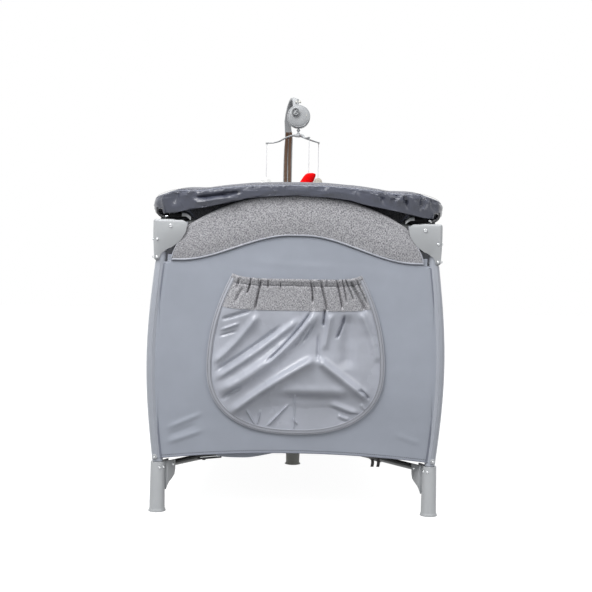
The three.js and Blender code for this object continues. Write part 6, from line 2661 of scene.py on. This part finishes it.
    def carousel(self) -> bpy.types.Object:
        """The hub with three drooping arms that end in hooks."""
        top = self.hub_z + 0.009
        profile = [
            (0.0030, 0.0), (0.0046, -0.0010), (0.0078, -0.0048), (0.0124, -0.0084), (0.0140, -0.0112),
            (0.0138, -0.0136), (0.0126, -0.0146), (0.004, -0.0142),
        ]
        parts = [turned("hub", profile, (0, self.box_y, top), Z_AXIS, Finishes.MOBILE, steps=40)]
        for index, degrees in enumerate(self.turns):
            turn = math.radians(degrees)
            out = Vector((math.cos(turn), math.sin(turn), 0))
            tip = self.hook(index)
            middle = Vector((0, self.box_y, self.hub_z - 0.001))
            aside = Vector((-out.y, out.x, 0))
            bend = aside * 0.004
            way = [
                middle + out * run + bend * math.sin(run * 55) + Vector((0, 0, fall * self.drops[index]))
                for run, fall in self.droop
            ]
            line = curve_through([tuple(point) for point in way], 40)
            radii = np.interp(
                np.linspace(0, 1, 40), [0, 0.15, 0.6, 0.88, 0.93, 0.97, 1.0],
                [0.0066, 0.0052, 0.0040, 0.0036, 0.0046, 0.0044, 0.0020],
            )
            parts.append(tube("arm", line, radii, Finishes.MOBILE, sides=14, flat=0.62, first=aside))
            eye = tip + Vector((0, 0, -0.0010))
            ring = [
                tuple(eye + out * 0.0030 * math.sin(t) + Vector((0, 0, 0.0030 * math.cos(t) - 0.0012)))
                for t in np.linspace(0, 2 * math.pi, 16, endpoint=False)
            ]
            parts.append(tube("hook", np.array(ring), 0.0009, Finishes.MOBILE, sides=8, closed=True))
        return joined("carousel_arms", parts)

    @staticmethod
    def roughened(points: np.ndarray) -> np.ndarray:
        """Lifts and lowers a toy's plush a little."""
        level = 0 * points[:, 0]
        return points + np.stack([level, level, 0.0012 * ripple(points, 60.0, 3.0)], axis=-1)

    def cord_to(self, name: str, tip: Vector, low: float) -> bpy.types.Object:
        """The cord from a hook down to a toy."""
        halfway = (tip.x + 0.0004, tip.y, (tip.z + low) / 2)
        path = [(tip.x, tip.y, tip.z - 0.0046), halfway, (tip.x, tip.y, low)]
        return tube(f"cord_{name}", curve_through(path, 24), 0.0011, Finishes.CORD, sides=8)

    def white(self, name: str, tip: Vector) -> None:
        """A round white puff with stubby points."""
        self.hang(name, tip, 0.916, Finishes.WHITE_PLUSH, (0.023, 0.016, 0.038), 5, 0.12)

    def beige(self, name: str, tip: Vector) -> None:
        """A rounded beige drop."""
        self.hang(name, tip, 0.925, Finishes.BEIGE_PLUSH, (0.020, 0.0154, 0.038), 2, 0.10)

    def red(self, name: str, tip: Vector) -> None:
        """A slanted red plush leaf."""
        self.hang(name, tip, 0.919, Finishes.RED_PLUSH, (0.023, 0.0182, 0.040), 3, 0.04, lean=0.55)

    def hang(
        self,
        name: str,
        tip: Vector,
        top: float,
        finish: Finish,
        size: Point,
        lobes: int,
        depth: float,
        lean: float = 0.0,
    ) -> None:
        """Builds one stuffed toy and its cord.

        Args:
            name: The toy's name.
            tip: The hook that it hangs from.
            top: Height of its top.
            finish: Its plush.
            size: Half its width, depth and height.
            lobes: Soft lobes round it.
            depth: How deep they are, as a share.
            lean: How far its squared-off top leans to one side, as a share of its height.
        """
        middle = Vector((tip.x, tip.y, top - size[2]))
        rows, around = 40, 56
        points, cloth = [], []
        for row in range(rows):
            up = -math.pi / 2 + math.pi * (row + 0.5) / rows
            for step in range(around):
                turn = 2 * math.pi * step / around
                lobe = 1 - depth + depth * math.cos(lobes * turn + 1.0) * math.cos(up)
                ring = math.cos(up) ** (0.36 if lean else 0.8) * lobe
                z = size[2] * math.sin(up)
                x = size[0] * ring * math.cos(turn) + lean * (z - size[2] * 0.55)
                points.append((middle.x + x, middle.y + size[1] * ring * math.sin(turn), middle.z + z))
                cloth.append((turn * size[0], z))
        faces = ring_faces(rows, around) + lids(rows, around)
        pad = piece_from(f"toy_{name}_plush", np.array(points), faces, finish, np.array(cloth))
        pad = reshaped(pad, self.roughened)
        carry(pad, f"toy_{name}", [f"toy_{name}"])
        carry(self.cord_to(name, tip, top - 0.012), f"toy_{name}")


# ------------------------------------------------------------------- the studio


@dataclass
class Studio:
    """The camera, floor, world and lamps."""

    camera_at: Point = (-0.012, -2.80, 0.556)
    lens: float = 56.2
    pitch: float = -0.96
    roll: float = 1.1
    yaw: float = -0.26
    ambient: float = 0.46

    def build(self) -> None:
        """Sets up the whole studio."""
        scene = bpy.context.scene
        scene.view_settings.view_transform = "Standard"
        self.camera()
        self.world()
        self.floor()
        self.lamp("key_lamp", (-1.2, -2.0, 2.7), (0.0, -0.5, 0.6), 1.5, 70.0)
        self.lamp("fill_lamp", (2.0, -2.5, 1.8), (0.0, -0.4, 0.5), 1.8, 21.0)
        self.lamp("top_lamp", (0.1, -0.2, 3.1), (0.0, -0.2, 0.0), 1.9, 34.0)

    def camera(self) -> None:
        """Makes the camera and sets it."""
        data = bpy.data.cameras.new("camera")
        data.lens = self.lens
        data.sensor_width = 36.0
        data.clip_end = 60.0
        camera = bpy.data.objects.new("camera", data)
        camera.location = self.camera_at
        turn = (
            Matrix.Rotation(math.radians(self.yaw), 4, "Z")
            @ Matrix.Rotation(math.radians(90 + self.pitch), 4, "X")
            @ Matrix.Rotation(math.radians(self.roll), 4, "Z")
        )
        camera.rotation_euler = turn.to_euler()
        bpy.context.scene.collection.objects.link(camera)
        bpy.context.scene.camera = camera

    def world(self) -> None:
        """White to the camera and in reflections, and soft ambient light otherwise."""
        world = bpy.data.worlds.new("studio")
        world.use_nodes = True
        world.node_tree.nodes.clear()
        tree = Tree(world.node_tree)
        seen = self.seen_rays(tree)
        white = tree.add("ShaderNodeBackground", Color=(1.0, 1.0, 1.0), Strength=1.0)
        soft = tree.add("ShaderNodeBackground", Color=(0.93, 0.965, 1.0), Strength=self.ambient)
        mix = tree.add("ShaderNodeMixShader", i0=seen, i1=soft.outputs[0], i2=white.outputs[0])
        end = tree.add("ShaderNodeOutputWorld")
        world.node_tree.links.new(mix.outputs[0], end.inputs[0])
        bpy.context.scene.world = world

    @staticmethod
    def seen_rays(tree: Tree) -> bpy.types.NodeSocket:
        """1 for camera, glossy and transmission rays."""
        path = tree.add("ShaderNodeLightPath")
        first = tree.math("MAXIMUM", path.outputs["Is Camera Ray"], path.outputs["Is Glossy Ray"])
        return tree.math("MAXIMUM", first, path.outputs["Is Transmission Ray"])

    def floor(self) -> None:
        """A white floor that keeps a soft shadow of the yard."""
        material = bpy.data.materials.new("studio_floor")
        material.use_nodes = True
        material.node_tree.nodes.clear()
        tree = Tree(material.node_tree)
        plain = tree.add("ShaderNodeBsdfDiffuse", Color=(0.20, 0.20, 0.20))
        shaded = tree.add("ShaderNodeBsdfDiffuse", Color=(0.30, 0.30, 0.30))
        glow = tree.add("ShaderNodeEmission", Color=(1.0, 1.0, 1.0), Strength=0.95)
        white = tree.add("ShaderNodeAddShader", i0=shaded.outputs[0], i1=glow.outputs[0])
        seen = self.seen_rays(tree)
        mix = tree.add("ShaderNodeMixShader", i0=seen, i1=plain.outputs[0], i2=white.outputs[0])
        end = tree.add("ShaderNodeOutputMaterial")
        material.node_tree.links.new(mix.outputs[0], end.inputs[0])
        mesh = bpy.data.meshes.new("studio_floor")
        reach = 14.0
        square = [(-reach, -reach, 0), (reach, -reach, 0), (reach, reach, 0), (-reach, reach, 0)]
        mesh.from_pydata(square, [], [(0, 1, 2, 3)])
        mesh.materials.append(material)
        floor = bpy.data.objects.new("studio_floor", mesh)
        floor.location.z = -0.0006
        bpy.context.scene.collection.objects.link(floor)

    @staticmethod
    def lamp(name: str, at: Point, aim: Point, size: float, power: float) -> None:
        """A square soft lamp.

        Args:
            name: The lamp's name.
            at: Its place.
            aim: What it faces.
            size: Its width in metres.
            power: Its power in watts.
        """
        data = bpy.data.lights.new(name, "AREA")
        data.size = size
        data.energy = power
        lamp = bpy.data.objects.new(name, data)
        lamp.location = at
        lamp.rotation_euler = (Vector(aim) - Vector(at)).to_track_quat("-Z", "Y").to_euler()
        lamp.visible_camera = False
        bpy.context.scene.collection.objects.link(lamp)


# --------------------------------------------------------------------- assembly


PANEL_FOLDS: tuple[Fold, ...] = (
    Fold((-0.309, 0.197), (-0.212, 0.240), 0.0050, 0.0030),
    Fold((-0.310, 0.163), (-0.210, 0.199), 0.0050, 0.0030),
    Fold((-0.306, 0.180), (-0.226, 0.212), 0.0042, -0.0018),
    Fold((0.306, 0.170), (0.236, 0.196), 0.0060, 0.0014),
    Fold((-0.150, 0.600), (0.120, 0.588), 0.0090, 0.0008),
)
SIDE_FOLDS: tuple[Fold, ...] = (
    Fold((-0.560, 0.180), (-0.455, 0.222), 0.0060, 0.0030),
    Fold((0.560, 0.176), (0.462, 0.214), 0.0060, 0.0026),
)
SIDE_WINDOW = (-0.40, 0.40, 0.235, 0.540)


def body_map(record: dict) -> dict[str, str]:
    """Which body carries each model node.

    Args:
        record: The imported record.

    Returns:
        Node name to body name.
    """
    bodies = record["behaviour"]["bodies"]
    return {node: body for body, nodes in bodies.items() for node in nodes}


def main() -> None:
    """Builds the studio and every sub-assembly."""
    logging.basicConfig(level=logging.INFO, format="%(name)s: %(message)s")
    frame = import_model()
    nodes = dict(frame["nodes"])
    Studio().build()
    Frame(nodes, body_map(frame["record"])).dress()
    CornerFittings().build()
    LegSleeves().build()
    Wall(Side.FRONT, PANEL_FOLDS).build()
    Wall(Side.BACK, PANEL_FOLDS[:3]).build()
    Wall(Side.LEFT, SIDE_FOLDS, window=SIDE_WINDOW).build()
    Wall(Side.RIGHT, SIDE_FOLDS, window=SIDE_WINDOW).build()
    Pocket().build()
    FloorPanels().build()
    UnderStraps().build()
    Mattress().build()
    PullStrap().build()
    Wheels().build()
    Changer().build()
    Mobile(nodes=nodes).build()


if __name__ == "__main__":
    main()
